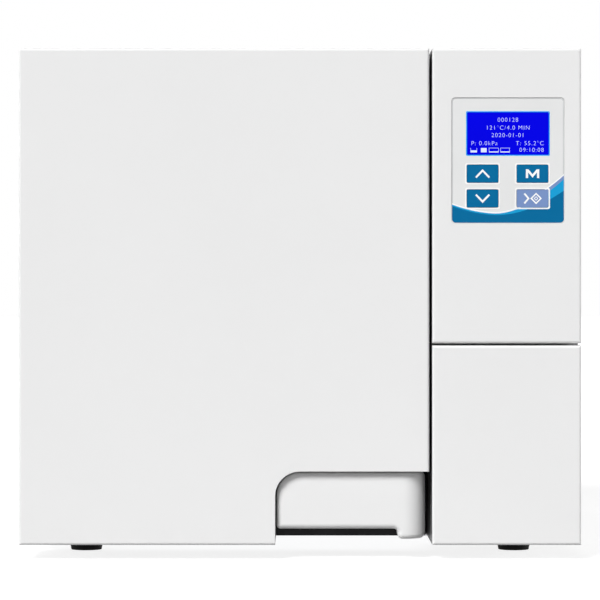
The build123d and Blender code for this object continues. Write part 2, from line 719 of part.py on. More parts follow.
def chamber():
    """Deep drawn vessel with a thick front flange and a dished end."""
    flange_back = PLATE_FRONT + FLANGE_THICKNESS
    outside = [Line((0, PLATE_FRONT), (FLANGE_RADIUS, PLATE_FRONT)),
               Line((FLANGE_RADIUS, PLATE_FRONT), (FLANGE_RADIUS, flange_back)),
               Line((FLANGE_RADIUS, flange_back), (SHELL_RADIUS, flange_back)),
               Line((SHELL_RADIUS, flange_back), (SHELL_RADIUS, CHAMBER_END)),
               dish_arc(SHELL_RADIUS, CHAMBER_END, DISH_DEPTH),
               Line((0, CHAMBER_END + DISH_DEPTH), (0, PLATE_FRONT))]
    inner_end = CHAMBER_END + DISH_DEPTH - CHAMBER_WALL
    inside = [Line((0, PLATE_FRONT - 1), (BORE_RADIUS, PLATE_FRONT - 1)),
              Line((BORE_RADIUS, PLATE_FRONT - 1), (BORE_RADIUS, CHAMBER_END)),
              dish_arc(BORE_RADIUS, CHAMBER_END, DISH_DEPTH - CHAMBER_WALL),
              Line((0, inner_end), (0, PLATE_FRONT - 1))]
    return about_chamber(outside) - about_chamber(inside)


def chamber_sleeve(inner, outer, start, end):
    sleeve = rod_y(outer, start, end, CHAMBER_X, CHAMBER_Z)
    return sleeve - rod_y(inner, start - 1, end + 1, CHAMBER_X, CHAMBER_Z)


def heater_band():
    middle = PLATE_FRONT + CHAMBER_LENGTH * 0.55
    return chamber_sleeve(SHELL_RADIUS, SHELL_RADIUS + HEATER_THICKNESS, middle - 60, middle + 60)


def chamber_insulation():
    start = PLATE_FRONT + FLANGE_THICKNESS
    sleeve = rod_y(INSULATION_RADIUS, start, INSULATION_END, CHAMBER_X, CHAMBER_Z)
    cavity_end = CHAMBER_END + DISH_DEPTH
    sleeve -= rod_y(SHELL_RADIUS + HEATER_THICKNESS, start - 1, cavity_end, CHAMBER_X, CHAMBER_Z)
    return sleeve


def chamber_cradle():
    """Saddle that carries the rear of the insulated vessel on the base tray."""
    half = 75
    sheet = 3
    front = CHAMBER_END - 60
    top = CHAMBER_Z - 90
    sketch = Pos(CHAMBER_X, (FLOOR + top) / 2) * Rectangle(2 * half, top - FLOOR)
    sketch -= Pos(CHAMBER_X, CHAMBER_Z) * Circle(INSULATION_RADIUS)
    saddle = front_prism(sketch, front, front + sheet)
    foot = block(CHAMBER_X - half, CHAMBER_X + half, front + sheet, front + sheet + 22, FLOOR, FLOOR + sheet)
    return saddle + foot


def tray_level(index):
    return CHAMBER_Z + (index - (TRAY_COUNT - 1) / 2) * TRAY_PITCH - TRAY_DROP


def tray_rack():
    """Two side sheets with folded runners, tied by cross rods, standing in the bore."""
    front = PLATE_FRONT + TRAY_FRONT_INSET - 4
    back = front + TRAY_LENGTH + 12
    low = CHAMBER_Z - math.sqrt(BORE_RADIUS ** 2 - (RACK_HALF + RACK_SHEET) ** 2) + 0.6
    high = CHAMBER_Z + RACK_TOP
    sides = []
    for side in (-1, 1):
        x = CHAMBER_X + side * (RACK_HALF + RACK_SHEET / 2)
        sheet = block(x - RACK_SHEET / 2, x + RACK_SHEET / 2, front, back, low, high)
        for index in range(TRAY_COUNT):
            window_low = tray_level(index) + 8
            window_high = min(tray_level(index) + TRAY_PITCH - 12, high - 8)
            for share in (0.27, 0.73):
                y = front + (back - front) * share
                sheet -= block(x - 2, x + 2, y - 55, y + 55, window_low, window_high)
        inner = CHAMBER_X + side * RACK_HALF
        tip = inner - side * RUNNER_WIDTH
        for index in range(TRAY_COUNT):
            z = tray_level(index)
            sheet += block(min(inner, tip), max(inner, tip), front, back, z - RACK_SHEET, z)
        sides.append(sheet)
    rack = sides[0] + sides[1]
    for y in (front + 15, back - 15):
        rack += rod_x(RACK_ROD_RADIUS, CHAMBER_X - RACK_HALF, CHAMBER_X + RACK_HALF, y, low + 6)
        rack += rod_x(RACK_ROD_RADIUS, CHAMBER_X - RACK_HALF, CHAMBER_X + RACK_HALF, y, high - 4)
    return rack


def tray(index):
    """Shallow pan with a raised rim and rows of steam slots."""
    front = PLATE_FRONT + TRAY_FRONT_INSET
    z = tray_level(index)
    half = TRAY_WIDTH / 2
    back = front + TRAY_LENGTH
    pan = block(CHAMBER_X - half, CHAMBER_X + half, front, back, z, z + TRAY_RIM)
    pan -= block(CHAMBER_X - half + TRAY_SHEET, CHAMBER_X + half - TRAY_SHEET, front + TRAY_SHEET,
                 back - TRAY_SHEET, z + TRAY_SHEET, z + TRAY_RIM + 1)
    columns = 6
    rows = 4
    for column in range(columns):
        for row in range(rows):
            x = CHAMBER_X + (row - (rows - 1) / 2) * TRAY_WIDTH / (rows + 0.6)
            y = (front + back) / 2 + (column - (columns - 1) / 2) * TRAY_LENGTH / (columns + 0.5)
            pan -= block(x - 3, x + 3, y - 15, y + 15, z - 1, z + TRAY_SHEET + 1)
    return pan


def trays():
    return group([tray(index) for index in range(TRAY_COUNT)])


# Front plate, base, casing and rear


def body_outline(bottom, inset):
    """Front view outline of the body with rounded upper corners."""
    left = CASE_LEFT + inset
    right = CASE_RIGHT - inset
    top = CASE_TOP - inset
    sketch = Pos((left + right) / 2, (bottom + top) / 2) * Rectangle(right - left, top - bottom)
    sketch = corner_fillet(sketch, (left, top), CASING_RADIUS - inset)
    return corner_fillet(sketch, (right, top), CASING_RADIUS - inset)


def front_plate():
    bottom = BASE + FRONT_PLATE_RAISE
    plate = front_prism(body_outline(bottom, 0), PLATE_FRONT, PLATE_BACK)
    plate -= rod_y(FLANGE_RADIUS + FLAT_CLEARANCE, PLATE_FRONT - 1, PLATE_BACK + 1, CHAMBER_X, CHAMBER_Z)
    plate -= block(COLUMN_LEFT - FLAT_CLEARANCE, CASE_RIGHT + 1, PLATE_FRONT - 1, PLATE_BACK + 1, bottom - 1,
                   FASCIA_BOTTOM)
    for low, high in hinge_ear_zones():
        plate -= block(CASE_LEFT - 1, HINGE_X + 7.8, PLATE_FRONT - 1, PLATE_BACK + 1, low - 0.3, high + 0.3)
    low = FASCIA_BOTTOM + 15
    plate -= block(COLUMN_MIDDLE - 30, COLUMN_MIDDLE + 30, PLATE_FRONT - 1, PLATE_BACK + 1, low, low + 23)
    return plate


def base_tray():
    """Folded floor with upturned edges, cut back round the service bay."""
    front = PLATE_BACK
    tray_floor = block(INNER_LEFT, INNER_RIGHT, front, CASE_END, BASE, FLOOR)
    wall = FLANGED_EDGE
    tray_floor += block(INNER_LEFT, INNER_LEFT + BASE_SHEET, front, CASE_END, BASE, BASE + wall)
    tray_floor += block(INNER_RIGHT - BASE_SHEET, INNER_RIGHT, front, CASE_END, BASE, BASE + wall)
    tray_floor += block(INNER_LEFT, INNER_RIGHT, CASE_END - BASE_SHEET, CASE_END, BASE, BASE + wall)
    lip_right = COLUMN_LEFT - 24
    tray_floor += block(INNER_LEFT, lip_right, front, front + BASE_SHEET, BASE, BASE + FRONT_PLATE_RAISE + 16)
    tray_floor -= block(COLUMN_LEFT - FLAT_CLEARANCE, INNER_RIGHT + 1, front - 1, BAY_BACK + FLAT_CLEARANCE,
                        BASE - 1, BASE + wall + 1)
    for index in range(FLOOR_SLOTS):
        y = CASE_END - 225 + index * 16
        tray_floor -= block(FAN_X - 50, FAN_X + 40, y, y + 5, BASE - 1, FLOOR + 1)
    return tray_floor


def casing():
    """One bent sheet over both sides and the top, with louvre slots and the tank cut-out."""
    outer = front_prism(body_outline(FLOOR, 0), PLATE_BACK, CASE_END)
    inner = front_prism(body_outline(BASE - 10, SHEET), PLATE_BACK - 1, CASE_END + 1)
    sheet = outer - inner
    sheet -= block(INNER_RIGHT - 30, CASE_RIGHT + 1, PLATE_BACK - 1, BAY_BACK + FLAT_CLEARANCE,
                   BASE - 1, FASCIA_BOTTOM)
    sheet -= lid_well(COLLAR_WALL + 0.3, CASE_TOP - 20, TOP + 1)
    for side in (-1, 1):
        x = side * (CASE_RIGHT - SHEET / 2)
        for bank in LOUVRE_BANKS:
            y = CASE_END - bank
            for index in range(LOUVRE_ROWS):
                z = FLOOR + LOUVRE_RAISE + index * SLOT_PITCH
                sheet -= block(x - 3, x + 3, y, y + LOUVRE_LENGTH, z, z + SLOT_HEIGHT)
    return sheet


def rear_panel():
    panel = front_prism(body_outline(FLOOR, 0), CASE_END, REAR_FACE)
    low = CASE_END - 1
    high = REAR_FACE + 1
    panel -= rod_y(FAN_BORE, low, high, FAN_X, FAN_Z)
    wide = INLET_HALF_WIDTH + 0.2
    tall = INLET_HALF_HEIGHT + 0.2
    panel -= block(INLET_X - wide, INLET_X + wide, low, high, INLET_Z - tall, INLET_Z + tall)
    for x in FUSE_X:
        panel -= rod_y(FUSE_RADIUS + 0.2, low, high, x, INLET_Z)
    panel -= rod_y(VALVE_BODY_RADIUS + 0.2, low, high, VALVE_X, VALVE_Z)
    for column in range(VENT_COLUMNS):
        for row in range(VENT_ROWS):
            x = CASE_LEFT + VENT_FROM_LEFT + column * (VENT_LENGTH + SLOT_PITCH - 2)
            z = TOP - VENT_DROP + row * SLOT_PITCH
            panel -= block(x, x + VENT_LENGTH, low, high, z, z + SLOT_HEIGHT)
    return panel


def feet():
    """Four tapered rubber feet with a shallow recess for the screw."""
    pieces = []
    upright = (Align.CENTER, Align.CENTER, Align.MIN)
    for x in (LEFT + FOOT_FROM_SIDE, RIGHT - FOOT_FROM_SIDE):
        for y in (FRONT + FOOT_FROM_FRONT, BACK - FOOT_FROM_BACK):
            foot = Pos(x, y, 0) * Cone(FOOT_BOTTOM_RADIUS, FOOT_TOP_RADIUS, FOOT_HEIGHT, align=upright)
            foot -= rod_z(5, -1, 4, x, y)
            pieces.append(foot)
    return group(pieces)


def casing_screws():
    screws = []
    for side in (-1, 1):
        for y in (BAY_BACK + SCREW_INSET, (PLATE_BACK + CASE_END) / 2, CASE_END - SCREW_INSET):
            for z in (BASE + 12, TOP - SCREW_DROP):
                near = side * CASE_RIGHT
                far = side * RIGHT
                screws.append(rod_x(SCREW_RADIUS, min(near, far), max(near, far), y, z))
    for x in (CASE_LEFT + 12, 0, CASE_RIGHT - 12):
        for z in (BASE + 14, CASE_TOP - 12):
            screws.append(rod_y(SCREW_RADIUS, REAR_FACE, REAR_FACE + 2, x, z))
    return group(screws)


# Column front


def control_fascia():
    """Hollow moulding with a recess for the overlay and openings for display and keys."""
    outer = block(COLUMN_LEFT, RIGHT, FRONT, PLATE_FRONT, FASCIA_BOTTOM, TOP)
    outer = front_rounded(outer, FRONT_RADIUS)
    inner = block(COLUMN_LEFT + COVER_WALL, RIGHT - COVER_WALL, FRONT + COVER_WALL, PLATE_FRONT + 1,
                  FASCIA_BOTTOM + COVER_WALL, TOP - COVER_WALL)
    shell = outer - inner
    shell -= front_prism(overlay_outline(0), FRONT - 1, FRONT + OVERLAY_RECESS)
    shell -= front_prism(window_outline(0), FRONT - 1, FRONT + COVER_WALL + 1)
    for centre in key_centres().values():
        shell -= front_prism(key_outline(centre, KEY_CLEARANCE), FRONT - 1, FRONT + COVER_WALL + 1)
    for side in (-1, 1):
        for z in (OVERLAY_LOW + 4, OVERLAY_HIGH - 4):
            x = OVERLAY_X + side * (OVERLAY_WIDTH / 2 - 4)
            shell += rod_y(3, FRONT + COVER_WALL - 0.5, FRONT + BOARD_SETBACK, x, z)
    return shell


def overlay_outline(inset):
    middle = (OVERLAY_HIGH + OVERLAY_LOW) / 2
    return rounded(OVERLAY_WIDTH - 2 * inset, OVERLAY_HEIGHT - 2 * inset, OVERLAY_RADIUS, OVERLAY_X, middle)


def window_outline(inset):
    return rounded(WINDOW_WIDTH - 2 * inset, WINDOW_HEIGHT - 2 * inset, 1, OVERLAY_X, WINDOW_Z)


def key_centres():
    left = OVERLAY_X - KEY_PITCH / 2 - 0.3
    right = left + KEY_PITCH
    high, low = [OVERLAY_HIGH - drop for drop in KEY_ROW_DROPS]
    return {
        "key_up": (left, high),
        "key_menu": (right, high),
        "key_down": (left, low),
        "key_start": (right, low),
    }


def key_outline(centre, grow):
    return rounded(KEY_WIDTH + 2 * grow, KEY_HEIGHT + 2 * grow, KEY_RADIUS, centre[0], centre[1])


def key_overlay():
    back = FRONT + OVERLAY_RECESS
    sheet = front_prism(overlay_outline(0.2), back - OVERLAY_THICKNESS, back)
    sheet -= front_prism(window_outline(0), back - 2, back + 1)
    for centre in key_centres().values():
        sheet -= front_prism(key_outline(centre, KEY_CLEARANCE), back - 2, back + 1)
    return sheet


def display_window():
    back = FRONT + OVERLAY_RECESS
    return front_prism(window_outline(0.1), back - OVERLAY_THICKNESS, back + 1.5)


def display_module():
    """Display body behind its window, with its frame on the board."""
    front = FRONT + OVERLAY_RECESS + 1.5
    glass = front_prism(window_outline(0.3), front, FRONT + COVER_WALL + 0.5)
    frame_outline = rounded(WINDOW_WIDTH + 8, WINDOW_HEIGHT + 8, 1, OVERLAY_X, WINDOW_Z)
    return glass + front_prism(frame_outline, FRONT + COVER_WALL + 0.4, FRONT + BOARD_SETBACK)


def key_cap(centre):
    """Key with a lip behind the fascia and a stem towards its switch."""
    face = FRONT + OVERLAY_RECESS - OVERLAY_THICKNESS - KEY_PROUD
    lip = FRONT + COVER_WALL + 0.3
    cap = front_prism(key_outline(centre, 0), face, lip)
    cap += front_prism(key_outline(centre, KEY_LIP), lip, lip + 1.2)
    stem_end = FRONT + BOARD_SETBACK - SWITCH_HEIGHT - KEY_TRAVEL - 0.3
    return cap + rod_y(2, lip + 1.2, stem_end, centre[0], centre[1])


def control_board():
    front = FRONT + BOARD_SETBACK
    back = front + BOARD_SHEET
    half = OVERLAY_WIDTH / 2
    board = block(OVERLAY_X - half, OVERLAY_X + half, front, back, OVERLAY_LOW - 2, OVERLAY_HIGH + 2)
    for x, z in key_centres().values():
        board += block(x - 3, x + 3, front - SWITCH_HEIGHT, front, z - 3, z + 3)
    board += block(OVERLAY_X - 20, OVERLAY_X + 20, back, front + 10, OVERLAY_LOW + 6, OVERLAY_LOW + 22)
    return board


def service_round(solid, inset):
    """Round the service door's rear right edge about its hinge axis."""
    radius = SERVICE_INSET - inset
    corner = block(SERVICE_X, RIGHT + 1, SERVICE_Y, SERVICE_BACK + 1, BASE - 1, SERVICE_TOP + 1)
    disc = rod_z(radius, BASE - 2, SERVICE_TOP + 2, SERVICE_X, SERVICE_Y)
    return solid - (corner - disc)


def service_ears():
    """Height ranges of the two fixed ears in the service bay."""
    low = BASE + SERVICE_EAR_INSET
    high = SERVICE_TOP - SERVICE_EAR_INSET
    return [(low, low + SERVICE_EAR_HEIGHT), (high - SERVICE_EAR_HEIGHT, high)]


def latch_zone():
    """Height range of the door magnet and of the post that it holds."""
    middle = (BASE + SERVICE_TOP) / 2
    return middle - MAGNET_HEIGHT / 2, middle + MAGNET_HEIGHT / 2


def service_door():
    """Shallow moulded door with ribs that hold the two hinge pins."""
    outer = block(COLUMN_LEFT, RIGHT, FRONT, SERVICE_BACK, BASE, SERVICE_TOP)
    outer = service_round(front_rounded(outer, FRONT_RADIUS), 0)
    wall = SERVICE_WALL
    left = COLUMN_LEFT + wall
    low_wall = BASE + wall
    high_wall = SERVICE_TOP - wall
    inner = block(left, RIGHT - wall, FRONT + wall, SERVICE_BACK + 1, low_wall, high_wall)
    door = outer - service_round(inner, wall)
    door -= block(left, SERVICE_X, SERVICE_Y, SERVICE_BACK + 1, low_wall, high_wall)
    for low, high in service_ears():
        for z0 in (low - 4, high + 1):
            rib = block(SERVICE_X - 9, RIGHT - 0.5, FRONT + 1, SERVICE_BACK, z0, z0 + 3)
            door += service_round(rib, 0.5)
        door -= block(SERVICE_X - SERVICE_EAR_RADIUS - 2, RIGHT + 1, SERVICE_Y - SERVICE_EAR_RADIUS - 2.5,
                      SERVICE_BACK + 1, low - 1, high + 1)
        door -= rod_z(SERVICE_PIN_RADIUS, low - 5, high + 5, SERVICE_X, SERVICE_Y)
    latch = COLUMN_LEFT + BAY_WALL
    low_latch, high_latch = latch_zone()
    post = block(latch + 1.5, latch + 9, FRONT + 1, BAY_FRONT - FLAT_CLEARANCE, low_latch, high_latch)
    pieces = [door + post]
    for low, high in service_ears():
        pieces.append(rod_z(SERVICE_PIN_RADIUS, low - 4, high + 4, SERVICE_X, SERVICE_Y))
    return group(pieces)


def service_bay():
    """Deep moulded bay behind the service door, with two hinge ears at its right rim."""
    rim_back = PLATE_FRONT + 3
    right = INNER_RIGHT - 0.8
    bay = block(COLUMN_LEFT, RIGHT, BAY_FRONT, rim_back, BASE, FASCIA_BOTTOM - FLAT_CLEARANCE)
    bay += block(COLUMN_LEFT, right, rim_back, BAY_BACK, BASE, SERVICE_TOP)
    bay -= block(COLUMN_LEFT + BAY_WALL, right - BAY_WALL, BAY_FRONT - 1, BAY_REAR_WALL,
                 BASE + BAY_WALL, SERVICE_TOP - BAY_WALL)
    for low, high in service_ears():
        ear = rod_z(SERVICE_EAR_RADIUS, low, high, SERVICE_X, SERVICE_Y)
        ear += block(SERVICE_X - SERVICE_EAR_RADIUS, SERVICE_X + 3.5, SERVICE_Y, BAY_FRONT + 2, low, high)
        bay += ear - rod_z(SERVICE_PIN_RADIUS + RUNNING_CLEARANCE, low - 1, high + 1, SERVICE_X, SERVICE_Y)
    for x, z in coupling_places():
        bay -= rod_y(DRAIN_TAIL, BAY_BACK - 10, BAY_BACK + 1, x, z)
    x, z = SWITCH_PLACE
    wide = SWITCH_HALF_WIDTH + 0.2
    tall = SWITCH_HALF_HEIGHT + 0.2
    bay -= block(x - wide, x + wide, BAY_BACK - 10, BAY_BACK + 1, z - tall, z + tall)
    bay -= rod_y(FILTER_SPIGOT, BAY_BACK - 10, BAY_BACK + 1, *FILTER_PLACE)
    return bay


def coupling_places():
    return [(COLUMN_LEFT + step, BASE + DRAIN_HEIGHT) for step in DRAIN_STEPS]


def door_magnet():
    left = COLUMN_LEFT + BAY_WALL
    low, high = latch_zone()
    return block(left, left + 10, BAY_FRONT, BAY_FRONT + 6, low, high)


def drain_coupling(x, z):
    """Quick coupling nipple with a groove, a hex foot and a hose tail behind the wall."""
    wall = BAY_REAR_WALL
    shoulder = wall - DRAIN_FOOT
    tip = shoulder - DRAIN_LENGTH
    groove = tip + 10
    foot = front_prism(Pos(x, z) * RegularPolygon(DRAIN_TAIL * 1.5, 6), shoulder, wall)
    nipple = rod_y(DRAIN_RADIUS + DRAIN_WALL, tip, shoulder, x, z)
    neck = rod_y(DRAIN_RADIUS + DRAIN_WALL / 2, groove - 3, groove + 3, x, z)
    nipple -= rod_y(DRAIN_RADIUS + DRAIN_WALL + 1, groove - 2, groove + 2, x, z) - neck
    tail = rod_y(DRAIN_TAIL, wall, BAY_BACK, x, z) + rod_y(DRAIN_TAIL - 1, BAY_BACK, BAY_BACK + 16, x, z)
    return foot + nipple + tail - rod_y(DRAIN_RADIUS, tip - 1, BAY_BACK + 17, x, z)


def drain_couplings():
    return group([drain_coupling(x, z) for x, z in coupling_places()])


def air_filter():
    """Disc shaped bacterial filter with ribs and a spigot through the wall."""
    x, z = FILTER_PLACE
    wall = BAY_REAR_WALL
    disc = rod_y(FILTER_RADIUS, wall - 24, wall - 8, x, z)
    disc += rod_y(FILTER_RADIUS + 2, wall - 18, wall - 14, x, z)
    disc += rod_y(FILTER_SPIGOT + 4, wall - 8, wall, x, z)
    disc += rod_y(FILTER_SPIGOT, wall, BAY_BACK + 12, x, z) + rod_y(FILTER_SPIGOT, wall - 36, wall - 24, x, z)
    knobs = 8
    reach = FILTER_RADIUS * 2 / 3
    for index in range(knobs):
        angle = math.radians(index * 360 / knobs)
        disc += rod_y(2, wall - 25.5, wall - 23, x + reach * math.cos(angle), z + reach * math.sin(angle))
    return disc


def switch_housing():
    """Snap-in housing with a flange, a recess and a hole for the rocker's pin."""
    x, z = SWITCH_PLACE
    wall = BAY_REAR_WALL
    wide = SWITCH_HALF_WIDTH
    high = SWITCH_HALF_HEIGHT
    body = block(x - wide - 3.2, x + wide + 3.2, wall - 2.5, wall, z - high - 3.2, z + high + 3.2)
    body += block(x - wide, x + wide, wall, BAY_BACK + 18, z - high, z + high)
    body -= block(x - wide + 1.5, x + wide - 1.5, wall - 4, BAY_BACK + 6, z - high + 1.2, z + high - 1.2)
    return body - rod_x(ROCKER_PIN_RADIUS, x - wide, x + wide, ROCKER_Y, z)


def switch_rocker():
    """Rocker with a slightly hollow face, at rest in its off position."""
    x, z = SWITCH_PLACE
    profile = Polygon((-8.5, ROCKER_HALF), (-6.6, 0), (-8.5, -ROCKER_HALF), (1.5, -ROCKER_HALF + 1.5),
                      (4, 0), (1.5, ROCKER_HALF - 1.5), align=None)
    half = SWITCH_HALF_WIDTH - 1.8
    rocker = side_prism(profile, x - half, x + half)
    rocker = Pos(0, ROCKER_Y, z) * Rot(ROCKER_TILT, 0, 0) * rocker
    reach = SWITCH_HALF_WIDTH - 0.3
    return rocker + rod_x(ROCKER_PIN_RADIUS - RUNNING_CLEARANCE, x - reach, x + reach, ROCKER_Y, z)


# Water tank


def lid_well(grow, z0, z1):
    return block(LID_X - LID_WIDTH / 2 - LID_GAP - grow, LID_X + LID_WIDTH / 2 + LID_GAP + grow,
                 LID_FRONT - LID_GAP - grow, LID_BACK + LID_GAP + grow, z0, z1)


def tank_bore():
    return block(LID_X - LID_WIDTH / 2 + 4, LID_X + LID_WIDTH / 2 - 4, LID_FRONT + 4, LID_BACK - 8,
                 TANK_TOP - 10, TANK_TOP + 1)


def water_tank():
    """Moulded tank with rounded upright edges and a filling mouth under the lid."""
    width = TANK_RIGHT - TANK_LEFT
    x = (TANK_LEFT + TANK_RIGHT) / 2
    y = PLATE_BACK + TANK_LENGTH / 2
    plan = RectangleRounded(width, TANK_LENGTH, TANK_CORNER)
    hollow = RectangleRounded(width - 2 * TANK_WALL, TANK_LENGTH - 2 * TANK_WALL, TANK_CORNER - TANK_WALL)
    outer = plan_prism(Pos(x, y) * plan, TANK_BOTTOM, TANK_TOP)
    inner = plan_prism(Pos(x, y) * hollow, TANK_BOTTOM + TANK_WALL, TANK_TOP - TANK_WALL)
    return outer - inner - tank_bore()


def tank_shelf():
    """Folded shelf under the tank with a front flange and a rear leg."""
    back = PLATE_BACK + TANK_LENGTH
    low = TANK_BOTTOM - SHELF_SHEET
    shelf = block(TANK_LEFT, TANK_RIGHT, PLATE_BACK, back, low, TANK_BOTTOM)
    shelf += block(TANK_LEFT, TANK_RIGHT, PLATE_BACK, PLATE_BACK + SHELF_SHEET, FASCIA_BOTTOM + 2, low)
    leg = block(TANK_LEFT, TANK_RIGHT, back - SHELF_SHEET, back, FLOOR, low)
    middle = (TANK_LEFT + TANK_RIGHT) / 2
    leg -= rod_y(28, back - SHELF_SHEET - 1, back + 1, middle, FLOOR + (low - FLOOR) * 0.64)
    return shelf + leg


def lid_collar():
    """Moulded well that lines the casing's cut-out and carries the lid's pin."""
    collar = lid_well(COLLAR_WALL, TANK_TOP, CASE_TOP + 0.5) - lid_well(0, TANK_TOP - 1, TOP)
    half = LID_WIDTH / 2
    ledge_top = TOP - LID_THICKNESS - FLAT_CLEARANCE
    ledge = half + 1
    collar += block(LID_X - ledge, LID_X + ledge, LID_FRONT - 1, LID_FRONT + 3, ledge_top - 2, ledge_top)
    reach = half + LID_GAP + COLLAR_WALL
    collar -= rod_x(LID_PIN_RADIUS, LID_X - reach - 1, LID_X + reach + 1, LID_AXIS_Y, LID_AXIS_Z)
    pin = rod_x(LID_PIN_RADIUS, LID_X - reach, LID_X + reach, LID_AXIS_Y, LID_AXIS_Z)
    return group([collar, pin])


def tank_lid():
    """Flat lid, hollow below, rounded about its pin, with a finger dish at the front."""
    bottom = TOP - LID_THICKNESS
    sketch = Pos((LID_FRONT + LID_BACK) / 2, (TOP + bottom) / 2) * Rectangle(LID_LENGTH, LID_THICKNESS)
    sketch = corner_fillet(sketch, (LID_BACK, TOP), LID_INSET)
    sketch = corner_fillet(sketch, (LID_FRONT, TOP), 1.5)
    half = LID_WIDTH / 2
    lid = side_prism(sketch, LID_X - half, LID_X + half)
    lid -= block(LID_X - half + LID_WALL, LID_X + half - LID_WALL, LID_FRONT + LID_WALL, LID_BACK - 10,
                 bottom - 1, TOP - LID_WALL)
    lid -= Pos(LID_X, LID_FRONT + 16, TOP + 10.8) * Sphere(12)
    pin_hole = LID_PIN_RADIUS + RUNNING_CLEARANCE
    return lid - rod_x(pin_hole, LID_X - half - 1, LID_X + half + 1, LID_AXIS_Y, LID_AXIS_Z)


# Pumps, generator, cooling


def vacuum_pump():
    """Motor with end bells and a diaphragm head on a common foot plate."""
    foot = block(PUMP_X - 45, PUMP_X + 45, PUMP_FRONT, PUMP_BACK, PUMP_FOOT, PUMP_FOOT + 4)
    head_back = PUMP_FRONT + 72
    motor = rod_y(PUMP_MOTOR_RADIUS, head_back - 2, PUMP_BACK - 16, PUMP_X, PUMP_Z)
    motor += rod_y(PUMP_MOTOR_RADIUS - 6, PUMP_BACK - 16, PUMP_BACK - 2, PUMP_X, PUMP_Z)
    head = block(PUMP_X - 40, PUMP_X + 40, PUMP_FRONT + 4, head_back, PUMP_FOOT + 3, PUMP_Z + 34)
    head += block(PUMP_X - 34, PUMP_X + 34, PUMP_FRONT + 10, head_back - 6, PUMP_Z + 34, PUMP_Z + 46)
    cradle = block(PUMP_X - 25, PUMP_X + 25, head_back + 18, PUMP_BACK - 26, PUMP_FOOT + 3, PUMP_Z - 30)
    return foot + motor + head + cradle


def pump_mounts():
    mounts = []
    for x in (PUMP_X - 36, PUMP_X + 36):
        for y in (PUMP_FRONT + 12, PUMP_BACK - 12):
            mounts.append(rod_z(8, FLOOR, PUMP_FOOT, x, y))
    return group(mounts)


def steam_generator():
    """Cross cylinder with end caps, held by two straps on the rear panel."""
    left = GENERATOR_X - GENERATOR_HALF
    right = GENERATOR_X + GENERATOR_HALF
    body = rod_x(GENERATOR_RADIUS, left, right, GENERATOR_Y, GENERATOR_Z)
    body += rod_x(GENERATOR_RADIUS + 3, left - 2, left + 6, GENERATOR_Y, GENERATOR_Z)
    body += rod_x(GENERATOR_RADIUS + 3, right - 6, right + 2, GENERATOR_Y, GENERATOR_Z)
    for x in (left + 30, right - 30):
        strap = rod_x(GENERATOR_RADIUS + 2, x - 6, x + 6, GENERATOR_Y, GENERATOR_Z)
        strap += block(x - 6, x + 6, GENERATOR_Y, CASE_END, GENERATOR_Z - 12, GENERATOR_Z + 12)
        body += strap
    return body


def water_pump():
    """Small feed pump with a port at each end, on a foot."""
    x = FEED_PUMP_X
    front = FEED_PUMP_FRONT
    back = FEED_PUMP_BACK
    body = rod_y(FEED_PUMP_RADIUS, front, back, x, FEED_PUMP_Z)
    body += rod_y(FEED_PUMP_RADIUS * 0.4, front - FEED_PORT, back + FEED_PORT, x, FEED_PUMP_Z)
    body += block(x - 22, x + 22, front + 5, back - 5, FLOOR, FLOOR + 4)
    return body + block(x - 6, x + 6, front + 15, back - 15, FLOOR, FEED_PUMP_Z)


def valve_block():
    """Brass manifold on a pedestal with four solenoid valves."""
    body = block(VALVES_LEFT, VALVES_RIGHT, VALVES_FRONT, VALVES_BACK, VALVES_LOW, VALVES_TOP)
    for leg in (VALVES_LEFT + 8, VALVES_RIGHT - 20):
        body += block(leg, leg + 12, VALVES_FRONT, VALVES_BACK, FLOOR, VALVES_LOW)
    pitch = (VALVES_RIGHT - VALVES_LEFT) / VALVES_COUNT
    coil_top = VALVES_TOP + 44
    y = (VALVES_FRONT + VALVES_BACK) / 2
    for index in range(VALVES_COUNT):
        x = VALVES_LEFT + (index + 0.5) * pitch
        body += rod_z(pitch * 0.4, VALVES_TOP, coil_top, x, y) + rod_z(4, coil_top, coil_top + 6, x, y)
    return body


def condenser():
    """Finned block with side headers, standing on two feet."""
    half = FAN_SIZE / 2 - 2
    header = CONDENSER_HEADER
    y0 = FAN_FRONT - CONDENSER_DEPTH
    z0 = FAN_Z - FAN_SIZE / 2 + 5
    z1 = FAN_Z + FAN_SIZE / 2
    core = block(FAN_X - half, FAN_X + half, y0, FAN_FRONT, z0, z1)
    pitch = (z1 - z0 - header) / CONDENSER_FINS
    for index in range(CONDENSER_FINS):
        z = z0 + 6 + index * pitch
        core -= block(FAN_X - half + header, FAN_X + half - header, y0 - 1, FAN_FRONT + 1, z, z + pitch * 0.6)
    for side in (-1, 1):
        x = FAN_X + side * (half - header)
        core += block(x - header, x + header, y0, FAN_FRONT, FLOOR, z0)
    return core


def fan_frame():
    """Square frame with a hub on four struts that carries the rotor's shaft."""
    back = FAN_FRONT + FAN_FRAME_SHEET
    frame = front_prism(rounded(FAN_SIZE, FAN_SIZE, 6, FAN_X, FAN_Z), FAN_FRONT, CASE_END)
    frame -= rod_y(FAN_BORE, FAN_FRONT - 1, CASE_END + 1, FAN_X, FAN_Z)
    frame += rod_y(FAN_HUB + 1, FAN_FRONT, back, FAN_X, FAN_Z)
    for angle in (45, 135, 225, 315):
        strut = block(FAN_HUB / 2, FAN_BORE + 1, FAN_FRONT, back, -2.5, 2.5)
        frame += Pos(FAN_X, 0, FAN_Z) * Rot(0, angle, 0) * strut
    return frame - rod_y(FAN_SHAFT + RUNNING_CLEARANCE, FAN_FRONT - 1, back + 1, FAN_X, FAN_Z)


